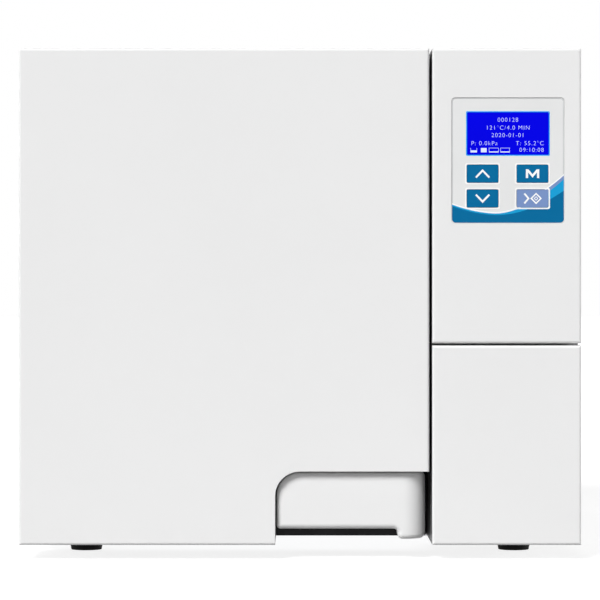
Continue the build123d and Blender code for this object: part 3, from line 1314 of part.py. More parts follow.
def fan_rotor():
    """Hub with swept blades, each a thin twisted vane made by a loft."""
    y0 = FAN_FRONT + FAN_FRAME_SHEET + 1
    y1 = CASE_END - 3
    tip = FAN_BORE - FAN_TIP_CLEARANCE
    hub = rod_y(FAN_HUB, y0, y1, 0, 0)
    hub = fillet(hub.faces().sort_by(Axis.Y)[-1].edges(), 3)
    for index in range(FAN_BLADES):
        sections = []
        for radius, pitch in ((FAN_HUB - 2, 38), (tip - 1.5, 24)):
            plane = Plane((radius, (y0 + y1) / 2, 0), x_dir=(0, math.sin(math.radians(pitch)),
                          math.cos(math.radians(pitch))), z_dir=(1, 0, 0))
            sections.append(plane * Rectangle(24, 1.8))
        blade = loft(sections)
        hub += Rot(0, index * 360 / FAN_BLADES, 0) * blade
    hub += rod_y(FAN_SHAFT, FAN_FRONT + 1, y0, 0, 0)
    return Pos(FAN_X, 0, FAN_Z) * hub


def fan_guard():
    """Stamped finger guard of flat rings and crossed spokes."""
    y0 = REAR_FACE
    y1 = REAR_FACE + GUARD_THICKNESS
    reach = FAN_BORE + 3.5
    guard = Pos(FAN_X, 0, FAN_Z) * Rot(0, 45, 0) * block(-reach, reach, y0, y1, -1.5, 1.5)
    guard += Pos(FAN_X, 0, FAN_Z) * Rot(0, 135, 0) * block(-reach, reach, y0, y1, -1.5, 1.5)
    for index in range(GUARD_RINGS):
        radius = (reach + 1) * (index + 1) / GUARD_RINGS
        guard += rod_y(radius, y0, y1, FAN_X, FAN_Z) - rod_y(radius - 2, y0 - 1, y1 + 1, FAN_X, FAN_Z)
    return guard


def tube(points, radius, bend):
    """Round tube along straight runs joined by tangent arcs."""
    path = FilletPolyline(*points, radius=bend)
    start = Plane(origin=path @ 0, z_dir=path % 0)
    return sweep(start * Circle(radius), path=path)


def pipework():
    """Tubes from tank to pump, generator to chamber, chamber to valves and pump."""
    dish = INSULATION_END
    steam_x = CHAMBER_X + 3
    steam_z = CHAMBER_Z + 17.5
    drain_x = CHAMBER_X + 40
    drain_z = CHAMBER_Z - 57.5
    aisle = COLUMN_LEFT - PIPE_RADIUS - 1
    valves_y = VALVES_FRONT + VALVES_WIDTH / 2
    valves_z = VALVES_LOW + VALVES_HEIGHT / 2
    suction_x = VALVES_LEFT + 38
    suction_y = VALVES_FRONT - 12
    pump_y = PUMP_FRONT + 40
    pump_z = PUMP_Z - 14
    low_z = PUMP_FOOT + 2
    feed_port = FEED_PUMP_BACK + FEED_PORT
    feed_back = feed_port + 17
    feed_x = CHAMBER_X + BORE_RADIUS
    generator_end = GENERATOR_X + GENERATOR_HALF + 2
    steam = [(steam_x, GENERATOR_Y, GENERATOR_Z - GENERATOR_RADIUS - 4), (steam_x, GENERATOR_Y, steam_z),
             (steam_x, dish, steam_z)]
    drain = [(drain_x, dish, drain_z), (drain_x, dish + 23, drain_z), (aisle, dish + 23, drain_z),
             (aisle, valves_y, drain_z), (aisle, valves_y, valves_z), (VALVES_LEFT, valves_y, valves_z)]
    suction = [(suction_x, VALVES_FRONT, valves_z), (suction_x, suction_y, valves_z),
               (suction_x, suction_y, low_z), (aisle, suction_y, low_z), (aisle, pump_y, low_z),
               (aisle, pump_y, pump_z), (PUMP_X - 40, pump_y, pump_z)]
    feed = [(FEED_PUMP_X, feed_port, FEED_PUMP_Z), (FEED_PUMP_X, feed_back, FEED_PUMP_Z),
            (feed_x, feed_back, FEED_PUMP_Z), (feed_x, feed_back, GENERATOR_Z),
            (generator_end, feed_back, GENERATOR_Z)]
    return group([tube(steam, PIPE_RADIUS, 10), tube(drain, PIPE_RADIUS, 8), tube(suction, PIPE_RADIUS, 5),
                  tube(feed, FEED_PIPE_RADIUS, 8)])


# Safety valve


def safety_valve():
    """Brass body on the rear panel with a hex foot, an inlet tail and vent holes."""
    hexagon = Pos(VALVE_X, VALVE_Z) * RegularPolygon(VALVE_BODY_RADIUS + 2, 6)
    foot = front_prism(hexagon, CASE_END - 14, CASE_END)
    body = rod_y(VALVE_BODY_RADIUS, CASE_END, REAR_FACE + 3, VALVE_X, VALVE_Z)
    tail = rod_y(VALVE_BODY_RADIUS - 3, CASE_END - 30, CASE_END - 14, VALVE_X, VALVE_Z)
    return foot + body + tail - rod_y(VALVE_STEM_RADIUS + 0.1, CASE_END - 10, BACK, VALVE_X, VALVE_Z)


def valve_ring():
    """Pull ring on a stem that slides in the valve body."""
    stem = rod_y(VALVE_STEM_RADIUS, CASE_END - 6, BACK - 2.5, VALVE_X, VALVE_Z)
    ring = Pos(VALVE_X, BACK - 1, VALVE_Z - 9) * Rot(90, 0, 0) * Torus(9, 1)
    lug = rod_y(3.2, BACK - 3, BACK, VALVE_X, VALVE_Z)
    return stem + lug + ring


# Electrics at the rear


def power_inlet():
    """Flanged inlet with a socket recess and three flat blades."""
    flange = front_prism(rounded(48, 22.5, 3, INLET_X, INLET_Z), REAR_FACE, REAR_FACE + 2.5)
    body = block(INLET_X - INLET_HALF_WIDTH, INLET_X + INLET_HALF_WIDTH, CASE_END - 18, REAR_FACE + 1,
                 INLET_Z - INLET_HALF_HEIGHT, INLET_Z + INLET_HALF_HEIGHT)
    recess = Polygon((-12, -8), (12, -8), (12, 4), (8.5, 8), (-8.5, 8), (-12, 4), align=None)
    socket = flange + body - front_prism(Pos(INLET_X, INLET_Z) * recess, REAR_FACE - 13, REAR_FACE + 5)
    for dx, dz in ((-7, -2), (0, 2), (7, -2)):
        x = INLET_X + dx
        z = INLET_Z + dz
        socket += block(x - 1, x + 1, REAR_FACE - 14, REAR_FACE - 1, z - 2, z + 2)
    return socket


def fuse_holders():
    holders = []
    for x in FUSE_X:
        body = rod_y(FUSE_RADIUS, CASE_END - 30, REAR_FACE, x, INLET_Z)
        body += rod_y(FUSE_RADIUS + 2, REAR_FACE, REAR_FACE + 5, x, INLET_Z)
        slot_low = INLET_Z - FUSE_SLOT / 2
        body -= block(x - 5, x + 5, REAR_FACE + 4, REAR_FACE + 6, slot_low, slot_low + FUSE_SLOT)
        holders.append(body)
    return group(holders)


def power_board():
    """Power board on four spacers inside the rear panel."""
    front = CASE_END - 12
    left = POWER_BOARD_LEFT
    right = left + POWER_BOARD_WIDTH
    low = INLET_Z + 40
    high = low + POWER_BOARD_HEIGHT
    board = block(left, right, front, front + BOARD_SHEET, low, high)
    for x in (left + 8, right - 8):
        for z in (low + 8, high - 8):
            board += rod_y(3, front + BOARD_SHEET, CASE_END, x, z)
    board += block(left + 14, left + 54, front - 34, front, low + 12, low + 50)
    board += block(left + 70, right - 15, front - 22, front, low + 12, low + 40)
    for index in range(3):
        board += rod_y(9, front - 28, front, left + 25 + index * 24, high - 30)
    return board


PIECES = {
    "door_cover": door_cover,
    "door_inner_panel": door_inner_panel,
    "door_bridge": door_bridge,
    "pressure_plate": pressure_plate,
    "door_gasket": door_gasket,
    "door_spindle": door_spindle,
    "shaft_bushes": shaft_bushes,
    "door_handle": door_handle,
    "lock_shaft": lock_shaft,
    "lock_claw": lock_claw,
    "hinge_brackets": hinge_brackets,
    "hinge_pin": hinge_pin,
    "lock_keeper": lock_keeper,
    "front_plate": front_plate,
    "chamber": chamber,
    "heater_band": heater_band,
    "chamber_insulation": chamber_insulation,
    "chamber_cradle": chamber_cradle,
    "tray_rack": tray_rack,
    "trays": trays,
    "base_tray": base_tray,
    "casing": casing,
    "rear_panel": rear_panel,
    "feet": feet,
    "casing_screws": casing_screws,
    "control_fascia": control_fascia,
    "key_overlay": key_overlay,
    "display_window": display_window,
    "display_module": display_module,
    "control_board": control_board,
    "service_door": service_door,
    "service_bay": service_bay,
    "door_magnet": door_magnet,
    "drain_couplings": drain_couplings,
    "air_filter": air_filter,
    "switch_housing": switch_housing,
    "switch_rocker": switch_rocker,
    "water_tank": water_tank,
    "tank_shelf": tank_shelf,
    "lid_collar": lid_collar,
    "tank_lid": tank_lid,
    "vacuum_pump": vacuum_pump,
    "pump_mounts": pump_mounts,
    "steam_generator": steam_generator,
    "water_pump": water_pump,
    "valve_block": valve_block,
    "condenser": condenser,
    "fan_frame": fan_frame,
    "fan_rotor": fan_rotor,
    "fan_guard": fan_guard,
    "pipework": pipework,
    "safety_valve": safety_valve,
    "valve_ring": valve_ring,
    "power_inlet": power_inlet,
    "fuse_holders": fuse_holders,
    "power_board": power_board,
}

for piece_name, make_piece in PIECES.items():
    save(piece_name, make_piece())
for key_name, key_centre in key_centres().items():
    save(key_name, key_cap(key_centre))
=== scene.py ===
import json
import math

import bmesh
import bpy
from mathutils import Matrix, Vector


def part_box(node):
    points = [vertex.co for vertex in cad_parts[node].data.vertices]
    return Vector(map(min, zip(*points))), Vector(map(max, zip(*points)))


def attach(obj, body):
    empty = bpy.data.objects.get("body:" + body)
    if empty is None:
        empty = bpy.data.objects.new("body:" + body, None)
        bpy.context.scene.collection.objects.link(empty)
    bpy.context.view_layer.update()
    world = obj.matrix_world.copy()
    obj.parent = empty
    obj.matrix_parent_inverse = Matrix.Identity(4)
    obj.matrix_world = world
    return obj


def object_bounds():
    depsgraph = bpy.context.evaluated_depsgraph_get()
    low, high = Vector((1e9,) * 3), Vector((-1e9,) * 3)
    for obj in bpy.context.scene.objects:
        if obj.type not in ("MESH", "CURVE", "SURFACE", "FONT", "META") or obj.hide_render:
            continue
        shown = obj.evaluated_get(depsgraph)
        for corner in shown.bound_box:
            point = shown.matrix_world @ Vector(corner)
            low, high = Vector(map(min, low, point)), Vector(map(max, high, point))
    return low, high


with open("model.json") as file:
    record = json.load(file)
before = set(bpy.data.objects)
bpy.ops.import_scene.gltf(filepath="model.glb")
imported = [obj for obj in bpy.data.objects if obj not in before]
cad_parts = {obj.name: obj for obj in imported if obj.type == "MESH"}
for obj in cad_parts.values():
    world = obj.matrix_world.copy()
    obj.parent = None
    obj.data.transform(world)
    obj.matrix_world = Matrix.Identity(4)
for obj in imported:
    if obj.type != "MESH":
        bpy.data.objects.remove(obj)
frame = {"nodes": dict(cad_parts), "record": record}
cad_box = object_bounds()
nodes = frame["nodes"]

# Lengths are in metres. Those noted as millimetres are turned into metres where they are used
MM = 0.001

# The photograph's view: level, on the middle of the front face, from far off
FRONT_FACE = cad_box[0].y
CAMERA_DISTANCE = 2.2
VIEW_WIDTH = 0.4746
CAMERA_HEIGHT = 0.20587
SENSOR = 36

# Broad far lights: name, degrees from the front to the right, degrees up, degrees across, and strength as
# the share of full white that each gives a surface facing it. The ambient light has the same scale
LIGHTS = (("key_light", -31, 41, 24, 1.13), ("front_light", -8, 6, 40, 0.04),
          ("side_light", 102, 10, 30, 0.42), ("back_light", 215, 15, 36, 0.38))
AMBIENT = 0.07

# Floor: its side, its grey under the light, and what it adds by itself where it is looked at
FLOOR_SIZE = 60
FLOOR_GREY = 0.35
FLOOR_LIFT = 0.845

# Colours, linear
WHITE = (0.84, 0.84, 0.84)
OFF_WHITE = (0.81, 0.815, 0.815)
PAPER_WHITE = (0.98, 0.98, 0.98)
LINE_GREY = (0.6, 0.61, 0.62)
BLACK = (0.012, 0.012, 0.013)
# Painted shade for the column's side in the gap beside the handle, not a colour of the part
PAINTED_SIDE_SHADE = (0.09, 0.09, 0.093)
TEAL = (0.0, 0.145, 0.34)
TEAL_DARK = (0.0, 0.145, 0.335)
BRIGHT_BLUE = (0.01, 0.35, 0.68)
LAVENDER = (0.2, 0.3, 0.57)
DISPLAY_BLUE = (0.0, 0.0, 0.74)
DISPLAY_EDGE = (0.02, 0.35, 0.85)
DISPLAY_TEXT = (0.75, 0.8, 1.0)

# Surfaces: the values that noise mostly stays between, its detail, how much finer the roughness varies than
# the colour, the scale of a brushed grain, and the gloss of matt film and of glass
NOISE_LOW = 0.3
NOISE_HIGH = 0.7
NOISE_DETAIL = 3.0
UNEVEN_PER_MOTTLE = 6
BRUSHED_ALONG_Y = (1.0, 0.02, 1.0)
FILM_GLOSS = 0.1
GLASS_GLOSS = 0.04
BEVEL_SAMPLES = 4

# Lit areas: share of the colour in the body itself, and share of the glow where the back light is weakest
LIT_BODY = 0.1
LIT_WEAKEST = 0.93
LIT_ROUGHNESS = 0.35
LIT_BLOTCHES = 30.0

# Painted shade on the column's side towards the door, a dark colour in place of the shade in the narrow gap:
# how far off its plane a face may lie, how far behind the front face it starts, and the X of a normal below
# which a face counts as turned to that side
SIDE_TOLERANCE = 0.15 * MM
SIDE_STARTS = 6 * MM
SIDE_FACING = -0.5

# Print: thickness of the ink, how far it stays from the overlay's edge, the corners and the border
INK = 0.04 * MM
WAVE_INK = INK * 1.5
RIM_INK = INK * 2.5
PRINT_INSET = 0.2 * MM
PANEL_RADIUS = 3 * MM
BORDER_WIDTH = 0.7 * MM

# Outlines: degrees between a circle's points, steps round a corner, and the least cosine of a mitre
CIRCLE_STEP = 20
CORNER_STEPS = 6
RIM_STEPS = 3
MITRE_LIMIT = 0.3

# Colour bands across the overlay's foot: heights above its bottom edge or of a band, places as shares of
# its width, bends as powers, and the corner's steps in degrees
WAVE_STEPS = 26
WAVE_CORNER_STEP = 15
WAVE_LEFT = 13.2 * MM
WAVE_LOW = 6.1 * MM
WAVE_RIGHT = 25.4 * MM
WAVE_TURN = 0.4
WAVE_LEFT_BEND = 1.8
WAVE_RIGHT_BEND = 1.9
BRIGHT_THIN = 1.2 * MM
BRIGHT_GROWTH = 16 * MM
BRIGHT_BEND = 1.4
PALE_START = 0.6
PALE_SLOPE = 4
PALE_HEIGHT = 3 * MM
WHITE_HEIGHT = 1.1 * MM
LEAST_HEIGHT = 0.01 * MM

# Keys: the lip behind the overlay, the play in the overlay's window and the rim printed round it
KEY_LIP = 1.2 * MM
KEY_CLEARANCE = 0.35 * MM
RIM_WIDTH = 1.1 * MM
RIM_OUTER_RADIUS = 1.4 * MM
RIM_INNER_RADIUS = 1.2 * MM

# Symbols on the keys, millimetres from the key's middle
CHEVRON_WIDTH = 1.5
CHEVRON_UP = [(-5.3, -3), (0, 2.5), (5.3, -3)]
CHEVRON_DOWN = [(-5.3, 3), (0, -2.5), (5.3, 3)]
HALF_M = [(0, -0.4), (3.3, 3.5), (5.3, 3.5), (5.3, -3.5), (3.5, -3.5), (3.5, 1.0), (0, -3.1)]
LETTER_M = HALF_M + [(-x, z) for x, z in reversed(HALF_M[1:-1])]
ARROW = [(-6.5, 3.9), (-3.2, 0), (-6.5, -3.9)]
ARROW_WIDTH = 1.4
DIAMOND_X = 2.8
DIAMOND_RINGS = ((4.6, 3.1), (1.8, 1.0))

# Display: generic readings, each with its place as shares of the window's width and height
DISPLAY_LINES = [("000128", 0.5, 0.775, "CENTER"), ("121°C/4.0 MIN", 0.5, 0.59, "CENTER"),
                 ("2020-01-01", 0.5, 0.415, "CENTER"), ("P: 0.0kPa", 0.05, 0.225, "LEFT"),
                 ("T: 55.2°C", 0.94, 0.225, "RIGHT"), ("09:10:08", 0.94, 0.07, "RIGHT")]
DISPLAY_RIM = 0.75 * MM
DISPLAY_RIM_RADIUS = 0.9 * MM
DISPLAY_RADIUS = 0.5 * MM

# Letters: height as a share of the window's, and thinning as a share of that height
LETTER_HEIGHT = 0.14
LETTER_SPACING = 1.2
LETTER_THINNING = 0.02
LETTER_RAISE = 0.05 * MM

# Icons, small boxes: foot and top as shares of the window's height, and for each its start and end as
# shares of the width, how much of it is filled from the foot, and whether its top is closed
ICON_FOOT = 0.06
ICON_TOP = 0.16
ICON_LINE = 0.24 * MM
ICONS = [(0.045, 0.12, 0.45, False), (0.17, 0.24, 1.0, False), (0.27, 0.385, 0.2, True),
         (0.41, 0.52, 0.2, True)]

# Marks on the power rocker, millimetres. Its two faces meet in the ridge, and the places are Y and Z
ROCKER_RIDGE = (-156.3, 46.85)
ROCKER_TOP = (-159.91, 56.37)
ROCKER_FOOT = (-156.43, 36.68)
ON_HALF_WIDTH = 0.5
ON_HALF_HEIGHT = 2
OFF_OUTER = 2.1
OFF_INNER = 1.4

# Level lines in the tank, millimetres: heights, place, and half of a line's thickness and of its length
TANK_WALL = 2.5
LEVELS = range(320, 381, 12)
LEVEL_Y = -105
LEVEL_HALF_LINE = 0.4
LEVEL_HALF_LONG = 9
LEVEL_HALF_SHORT = 5
LONG_LEVEL_EVERY = 5


# Materials


def new_material(name):
    """New material with its nodes and links."""
    material = bpy.data.materials.new(name)
    material.use_nodes = True
    return material, material.node_tree.nodes, material.node_tree.links


def math_node(tree_nodes, links, operation, *values):
    """Math node over sockets and numbers. Returns its value socket."""
    node = tree_nodes.new("ShaderNodeMath")
    node.operation = operation
    for socket, value in zip(node.inputs, values):
        if isinstance(value, bpy.types.NodeSocket):
            links.new(value, socket)
        else:
            socket.default_value = value
    return node.outputs[0]


def map_range(tree_nodes, links, value, low, high, start=NOISE_LOW, end=NOISE_HIGH):
    """Value from start to end carried over to low to high. Returns its value socket."""
    node = tree_nodes.new("ShaderNodeMapRange")
    node.inputs["From Min"].default_value = start
    node.inputs["From Max"].default_value = end
    node.inputs["To Min"].default_value = low
    node.inputs["To Max"].default_value = high
    links.new(value, node.inputs["Value"])
    return node.outputs["Result"]


def mix_colours(tree_nodes, links, factor, first, second):
    """Mix of two colours, each a socket or linear RGB. Returns its colour socket."""
    mix = tree_nodes.new("ShaderNodeMix")
    mix.data_type = "RGBA"
    links.new(factor, mix.inputs["Factor"])
    for name, colour in (("A", first), ("B", second)):
        if isinstance(colour, bpy.types.NodeSocket):
            links.new(colour, mix.inputs[name])
        else:
            mix.inputs[name].default_value = (*colour, 1)
    return mix.outputs["Result"]


def noise(tree_nodes, links, coordinates, scale, detail=NOISE_DETAIL, stretch=None):
    """Noise over object coordinates, stretched along axes if asked. Returns its value socket."""
    texture = tree_nodes.new("ShaderNodeTexNoise")
    texture.inputs["Scale"].default_value = scale
    texture.inputs["Detail"].default_value = detail
    source = coordinates
    if stretch:
        mapping = tree_nodes.new("ShaderNodeMapping")
        mapping.inputs["Scale"].default_value = stretch
        links.new(coordinates, mapping.inputs["Vector"])
        source = mapping.outputs["Vector"]
    links.new(source, texture.inputs["Vector"])
    return texture.outputs["Fac"]


def finish_material(name, colour, roughness, spread=0.06, metallic=0.0, mottle=0.03, mottle_scale=9.0,
                    grain=900.0, grain_depth=0.00002, stretch=None, specular=0.5, edge=0.0):
    """Surface with mottled colour, uneven roughness and a fine relief, all from noise."""
    material, tree_nodes, links = new_material(name)
    shader = tree_nodes["Principled BSDF"]
    shader.inputs["Metallic"].default_value = metallic
    shader.inputs["Specular IOR Level"].default_value = specular
    coordinates = tree_nodes.new("ShaderNodeTexCoord").outputs["Object"]
    blotches = noise(tree_nodes, links, coordinates, mottle_scale)
    mottled = mix_colours(tree_nodes, links, map_range(tree_nodes, links, blotches, 0.0, 1.0),
                          [c * (1 - mottle) for c in colour], [min(1, c * (1 + mottle)) for c in colour])
    links.new(mottled, shader.inputs["Base Color"])
    uneven = noise(tree_nodes, links, coordinates, mottle_scale * UNEVEN_PER_MOTTLE, stretch=stretch)
    links.new(map_range(tree_nodes, links, uneven, roughness - spread, roughness + spread),
              shader.inputs["Roughness"])
    bump = tree_nodes.new("ShaderNodeBump")
    bump.inputs["Distance"].default_value = grain_depth
    bump.inputs["Strength"].default_value = 1.0
    links.new(noise(tree_nodes, links, coordinates, grain, stretch=stretch), bump.inputs["Height"])
    if edge:
        bevel = tree_nodes.new("ShaderNodeBevel")
        bevel.samples = BEVEL_SAMPLES
        bevel.inputs["Radius"].default_value = edge
        links.new(bevel.outputs["Normal"], bump.inputs["Normal"])
    links.new(bump.outputs["Normal"], shader.inputs["Normal"])
    return material


def lit_material(name, colour):
    """Printed or lit area that shines by itself, with a faint unevenness of the back light."""
    material, tree_nodes, links = new_material(name)
    shader = tree_nodes["Principled BSDF"]
    coordinates = tree_nodes.new("ShaderNodeTexCoord").outputs["Object"]
    glow = noise(tree_nodes, links, coordinates, LIT_BLOTCHES, detail=1.0)
    shader.inputs["Base Color"].default_value = (*[c * LIT_BODY for c in colour], 1)
    shader.inputs["Roughness"].default_value = LIT_ROUGHNESS
    shader.inputs["Specular IOR Level"].default_value = GLASS_GLOSS
    uneven = mix_colours(tree_nodes, links, map_range(tree_nodes, links, glow, 0.0, 1.0),
                         [c * LIT_WEAKEST for c in colour], colour)
    links.new(uneven, shader.inputs["Emission Color"])
    shader.inputs["Emission Strength"].default_value = 1.0
    return material


def print_material(name, colour):
    """Ink under a matt film with a fine tooth."""
    return finish_material(name, colour, 0.42, mottle=0.012, mottle_scale=30, grain=1800,
                           grain_depth=0.000006, specular=FILM_GLOSS)


def paint_side_shade(material, plane):
    """Painted shade: dark colour on the faces that look along -X at the given plane, behind their front
    edge.
    """
    tree_nodes, links = material.node_tree.nodes, material.node_tree.links
    base_colour = tree_nodes["Principled BSDF"].inputs["Base Color"]
    coordinates = tree_nodes.new("ShaderNodeTexCoord")
    place = tree_nodes.new("ShaderNodeSeparateXYZ")
    links.new(coordinates.outputs["Object"], place.inputs["Vector"])
    facing = tree_nodes.new("ShaderNodeSeparateXYZ")
    links.new(coordinates.outputs["Normal"], facing.inputs["Vector"])
    near = math_node(tree_nodes, links, "COMPARE", place.outputs["X"], plane, SIDE_TOLERANCE)
    turned = math_node(tree_nodes, links, "LESS_THAN", facing.outputs["X"], SIDE_FACING)
    behind = math_node(tree_nodes, links, "GREATER_THAN", place.outputs["Y"], FRONT_FACE + SIDE_STARTS)
    both = math_node(tree_nodes, links, "MULTIPLY", near, turned)
    masked = math_node(tree_nodes, links, "MULTIPLY", both, behind)
    usual = base_colour.links[0].from_socket
    links.new(mix_colours(tree_nodes, links, masked, usual, PAINTED_SIDE_SHADE), base_colour)


materials = {
    "white_moulding": finish_material("white_moulding", WHITE, 0.46, mottle=0.006, grain=1400,
                                      grain_depth=0.000006, specular=0.3, edge=0.0006),
    "black_moulding": finish_material("black_moulding", BLACK, 0.5, mottle=0.2, grain=1100,
                                      grain_depth=0.00002, specular=0.25, edge=0.0005),
    "white_paint": finish_material("white_paint", WHITE, 0.45, mottle=0.008, grain=700,
                                   grain_depth=0.00003),
    "stainless": finish_material("stainless", (0.66, 0.66, 0.655), 0.3, spread=0.03, metallic=1.0,
                                 mottle=0.02, grain=2600, grain_depth=0.000001,
                                 stretch=BRUSHED_ALONG_Y),
    "zinc_steel": finish_material("zinc_steel", (0.5, 0.51, 0.53), 0.38, metallic=1.0, mottle=0.12,
                                  mottle_scale=60),
    "bright_steel": finish_material("bright_steel", (0.66, 0.66, 0.67), 0.16, metallic=1.0, mottle=0.03),
    "cast_aluminium": finish_material("cast_aluminium", (0.5, 0.5, 0.51), 0.5, metallic=1.0, grain=500,
                                      grain_depth=0.0001),
    "silicone": finish_material("silicone", (0.62, 0.58, 0.5), 0.55, mottle=0.04, specular=0.4),
    "black_rubber": finish_material("black_rubber", (0.006, 0.006, 0.006), 0.7, mottle=0.2, grain=800,
                                    grain_depth=0.00006, specular=0.15),
    "brass": finish_material("brass", (0.65, 0.43, 0.16), 0.3, metallic=1.0, mottle=0.06, mottle_scale=40),
    "overlay_print": print_material("overlay_print", OFF_WHITE),
    "display_blue": lit_material("display_blue", DISPLAY_BLUE),
    "key_teal": print_material("key_teal", TEAL),
    "key_lavender": print_material("key_lavender", LAVENDER),
    "circuit_board": finish_material("circuit_board", (0.02, 0.14, 0.06), 0.35, mottle=0.1, mottle_scale=90),
    "natural_plastic": finish_material("natural_plastic", (0.7, 0.71, 0.69), 0.5, mottle=0.02),
    "grey_plastic": finish_material("grey_plastic", (0.2, 0.2, 0.21), 0.5, mottle=0.05),
    "mineral_wool": finish_material("mineral_wool", (0.65, 0.58, 0.36), 0.95, mottle=0.15, mottle_scale=40,
                                    grain=300, grain_depth=0.0006, specular=0.1),
    "red_plastic": finish_material("red_plastic", (0.42, 0.02, 0.015), 0.3, mottle=0.03),
}
# Painted shade: the column's side towards the door is coloured dark, in place of the shade beside the
# handle's knuckle
paint_side_shade(materials["white_moulding"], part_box("control_fascia")[0].x)
for entry in frame["record"]["subparts"]:
    mesh = nodes[entry["node"]].data
    mesh.materials.clear()
    mesh.materials.append(materials[entry["material_slot"]])

print_white = print_material("print_white", PAPER_WHITE)
print_grey = print_material("print_grey", LINE_GREY)
print_teal = print_material("print_teal", TEAL_DARK)
print_blue = print_material("print_blue", BRIGHT_BLUE)
print_lavender = print_material("print_lavender", LAVENDER)
display_text = lit_material("display_text", DISPLAY_TEXT)
display_edge = lit_material("display_edge", DISPLAY_EDGE)


# Outlines


def rectangle(x0, x1, z0, z1):
    return [(x0, z0), (x1, z0), (x1, z1), (x0, z1)]


def rounded_outline(x0, x1, z0, z1, radius, steps=CORNER_STEPS):
    """Points round a rectangle with rounded corners."""
    points = []
    for cx, cz, start in ((x1 - radius, z1 - radius, 0), (x0 + radius, z1 - radius, 90),
                          (x0 + radius, z0 + radius, 180), (x1 - radius, z0 + radius, 270)):
        for step in range(steps + 1):
            angle = math.radians(start + 90 * step / steps)
            points.append((cx + radius * math.cos(angle), cz + radius * math.sin(angle)))
    return points


def circle(radius):
    angles = [math.radians(degrees) for degrees in range(0, 360, CIRCLE_STEP)]
    return [(radius * math.cos(angle), radius * math.sin(angle)) for angle in angles]


def diamond(x, half):
    return [(x, half), (x + half, 0), (x, -half), (x - half, 0)]


def ring_quads(outer, inner):
    """Quads between two closed outlines of as many points."""
    count = len(outer)
    return [[outer[i], outer[(i + 1) % count], inner[(i + 1) % count], inner[i]] for i in range(count)]


def window_rim(x0, x1, z0, z1, width, inner_radius, outer_radius):
    """Quads of a rounded rim of the given width round a window."""
    inner = rounded_outline(x0, x1, z0, z1, inner_radius, RIM_STEPS)
    outer = rounded_outline(x0 - width, x1 + width, z0 - width, z1 + width, outer_radius, RIM_STEPS)
    return ring_quads(outer, inner)


def stroke(points, width):
    """Quads along an open line of points, mitred at its corners."""
    half = width / 2
    sides = []
    for index, point in enumerate(points):
        here = Vector(point)
        before = (here - Vector(points[index - 1])).normalized() if index else None
        after = (Vector(points[index + 1]) - here).normalized() if index < len(points) - 1 else None
        before = before or after
        after = after or before
        normal = Vector((-(before.y + after.y), before.x + after.x)).normalized()
        reach = half / max(MITRE_LIMIT, normal.dot(Vector((-after.y, after.x))))
        sides.append((here + normal * reach, here - normal * reach))
    return [[tuple(sides[i][0]), tuple(sides[i][1]), tuple(sides[i + 1][1]), tuple(sides[i + 1][0])]
            for i in range(len(points) - 1)]


# Flat printed pieces, drawn as outlines on the face that carries them


def plates(name, outlines, origin, right, up, thickness, material, body):
    """Thin plates with outlines measured along right and up from origin, standing proud of that plane."""
    origin, right, up = Vector(origin), Vector(right).normalized(), Vector(up).normalized()
    proud = right.cross(up) * thickness
    mesh = bpy.data.meshes.new(name)
    shape = bmesh.new()
    for outline in outlines:
        corners = [shape.verts.new(origin + right * across + up * along) for across, along in outline]
        face = shape.faces.new(corners)
        raised = bmesh.ops.extrude_face_region(shape, geom=[face])
        moved = [v for v in raised["geom"] if isinstance(v, bmesh.types.BMVert)]
        bmesh.ops.translate(shape, verts=moved, vec=proud)
    bmesh.ops.recalc_face_normals(shape, faces=shape.faces)
    shape.to_mesh(mesh)
    shape.free()
    mesh.materials.append(material)
    piece = bpy.data.objects.new(name, mesh)
    bpy.context.scene.collection.objects.link(piece)
    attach(piece, body)
    return piece


def prism(name, outlines, back, thickness, material, body):
    """Thin plates with the given front view outlines, standing proud of the plane y = back."""
    return plates(name, outlines, (0, back, 0), (1, 0, 0), (0, 0, 1), thickness, material, body)


OVERLAY_LOW, OVERLAY_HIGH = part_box("key_overlay")
OVERLAY_FACE = OVERLAY_LOW.y
PRINT_LEFT, PRINT_RIGHT = OVERLAY_LOW.x + PRINT_INSET, OVERLAY_HIGH.x - PRINT_INSET
PRINT_BOTTOM, PRINT_TOP = OVERLAY_LOW.z + PRINT_INSET, OVERLAY_HIGH.z - PRINT_INSET


def print_outline(inset):
    """Rounded outline of the overlay's printed area, drawn in by the inset."""
    return rounded_outline(PRINT_LEFT + inset, PRINT_RIGHT - inset, PRINT_BOTTOM + inset, PRINT_TOP - inset,
                           PANEL_RADIUS - inset)


def overlay_border():
    """Thin grey line round the overlay."""
    quads = ring_quads(print_outline(0), print_outline(BORDER_WIDTH))
    prism("overlay_border", quads, OVERLAY_FACE, INK, print_grey, "body")


def wave_height(share):
    """Height of the dark band's top edge at a share of the overlay's width from the left."""
    if share < WAVE_TURN:
        return WAVE_LOW + (WAVE_LEFT - WAVE_LOW) * ((WAVE_TURN - share) / WAVE_TURN) ** WAVE_LEFT_BEND
    return WAVE_LOW + (WAVE_RIGHT - WAVE_LOW) * ((share - WAVE_TURN) / (1 - WAVE_TURN)) ** WAVE_RIGHT_BEND


def bright_height(share):
    """Height of the bright band, thin on the left and broad where it rises on the right."""
    return BRIGHT_THIN + BRIGHT_GROWTH * max(0, share - WAVE_TURN) ** BRIGHT_BEND


def wave_shares():
    """Places across the overlay, close together at its rounded corners."""
    width = PRINT_RIGHT - PRINT_LEFT
    corner = [PANEL_RADIUS * (1 - math.cos(math.radians(angle))) for angle in range(0, 90, WAVE_CORNER_STEP)]
    straight = width - 2 * PANEL_RADIUS
    between = [PANEL_RADIUS + straight * i / WAVE_STEPS for i in range(WAVE_STEPS + 1)]
    return [d / width for d in corner + between + [width - d for d in reversed(corner)]]


def corner_lift(x):
    """Height of the overlay's rounded lower edge above its bottom."""
    nearest = min(x - PRINT_LEFT, PRINT_RIGHT - x)
    return PANEL_RADIUS - math.sqrt(max(0, PANEL_RADIUS ** 2 - max(0, PANEL_RADIUS - nearest) ** 2))


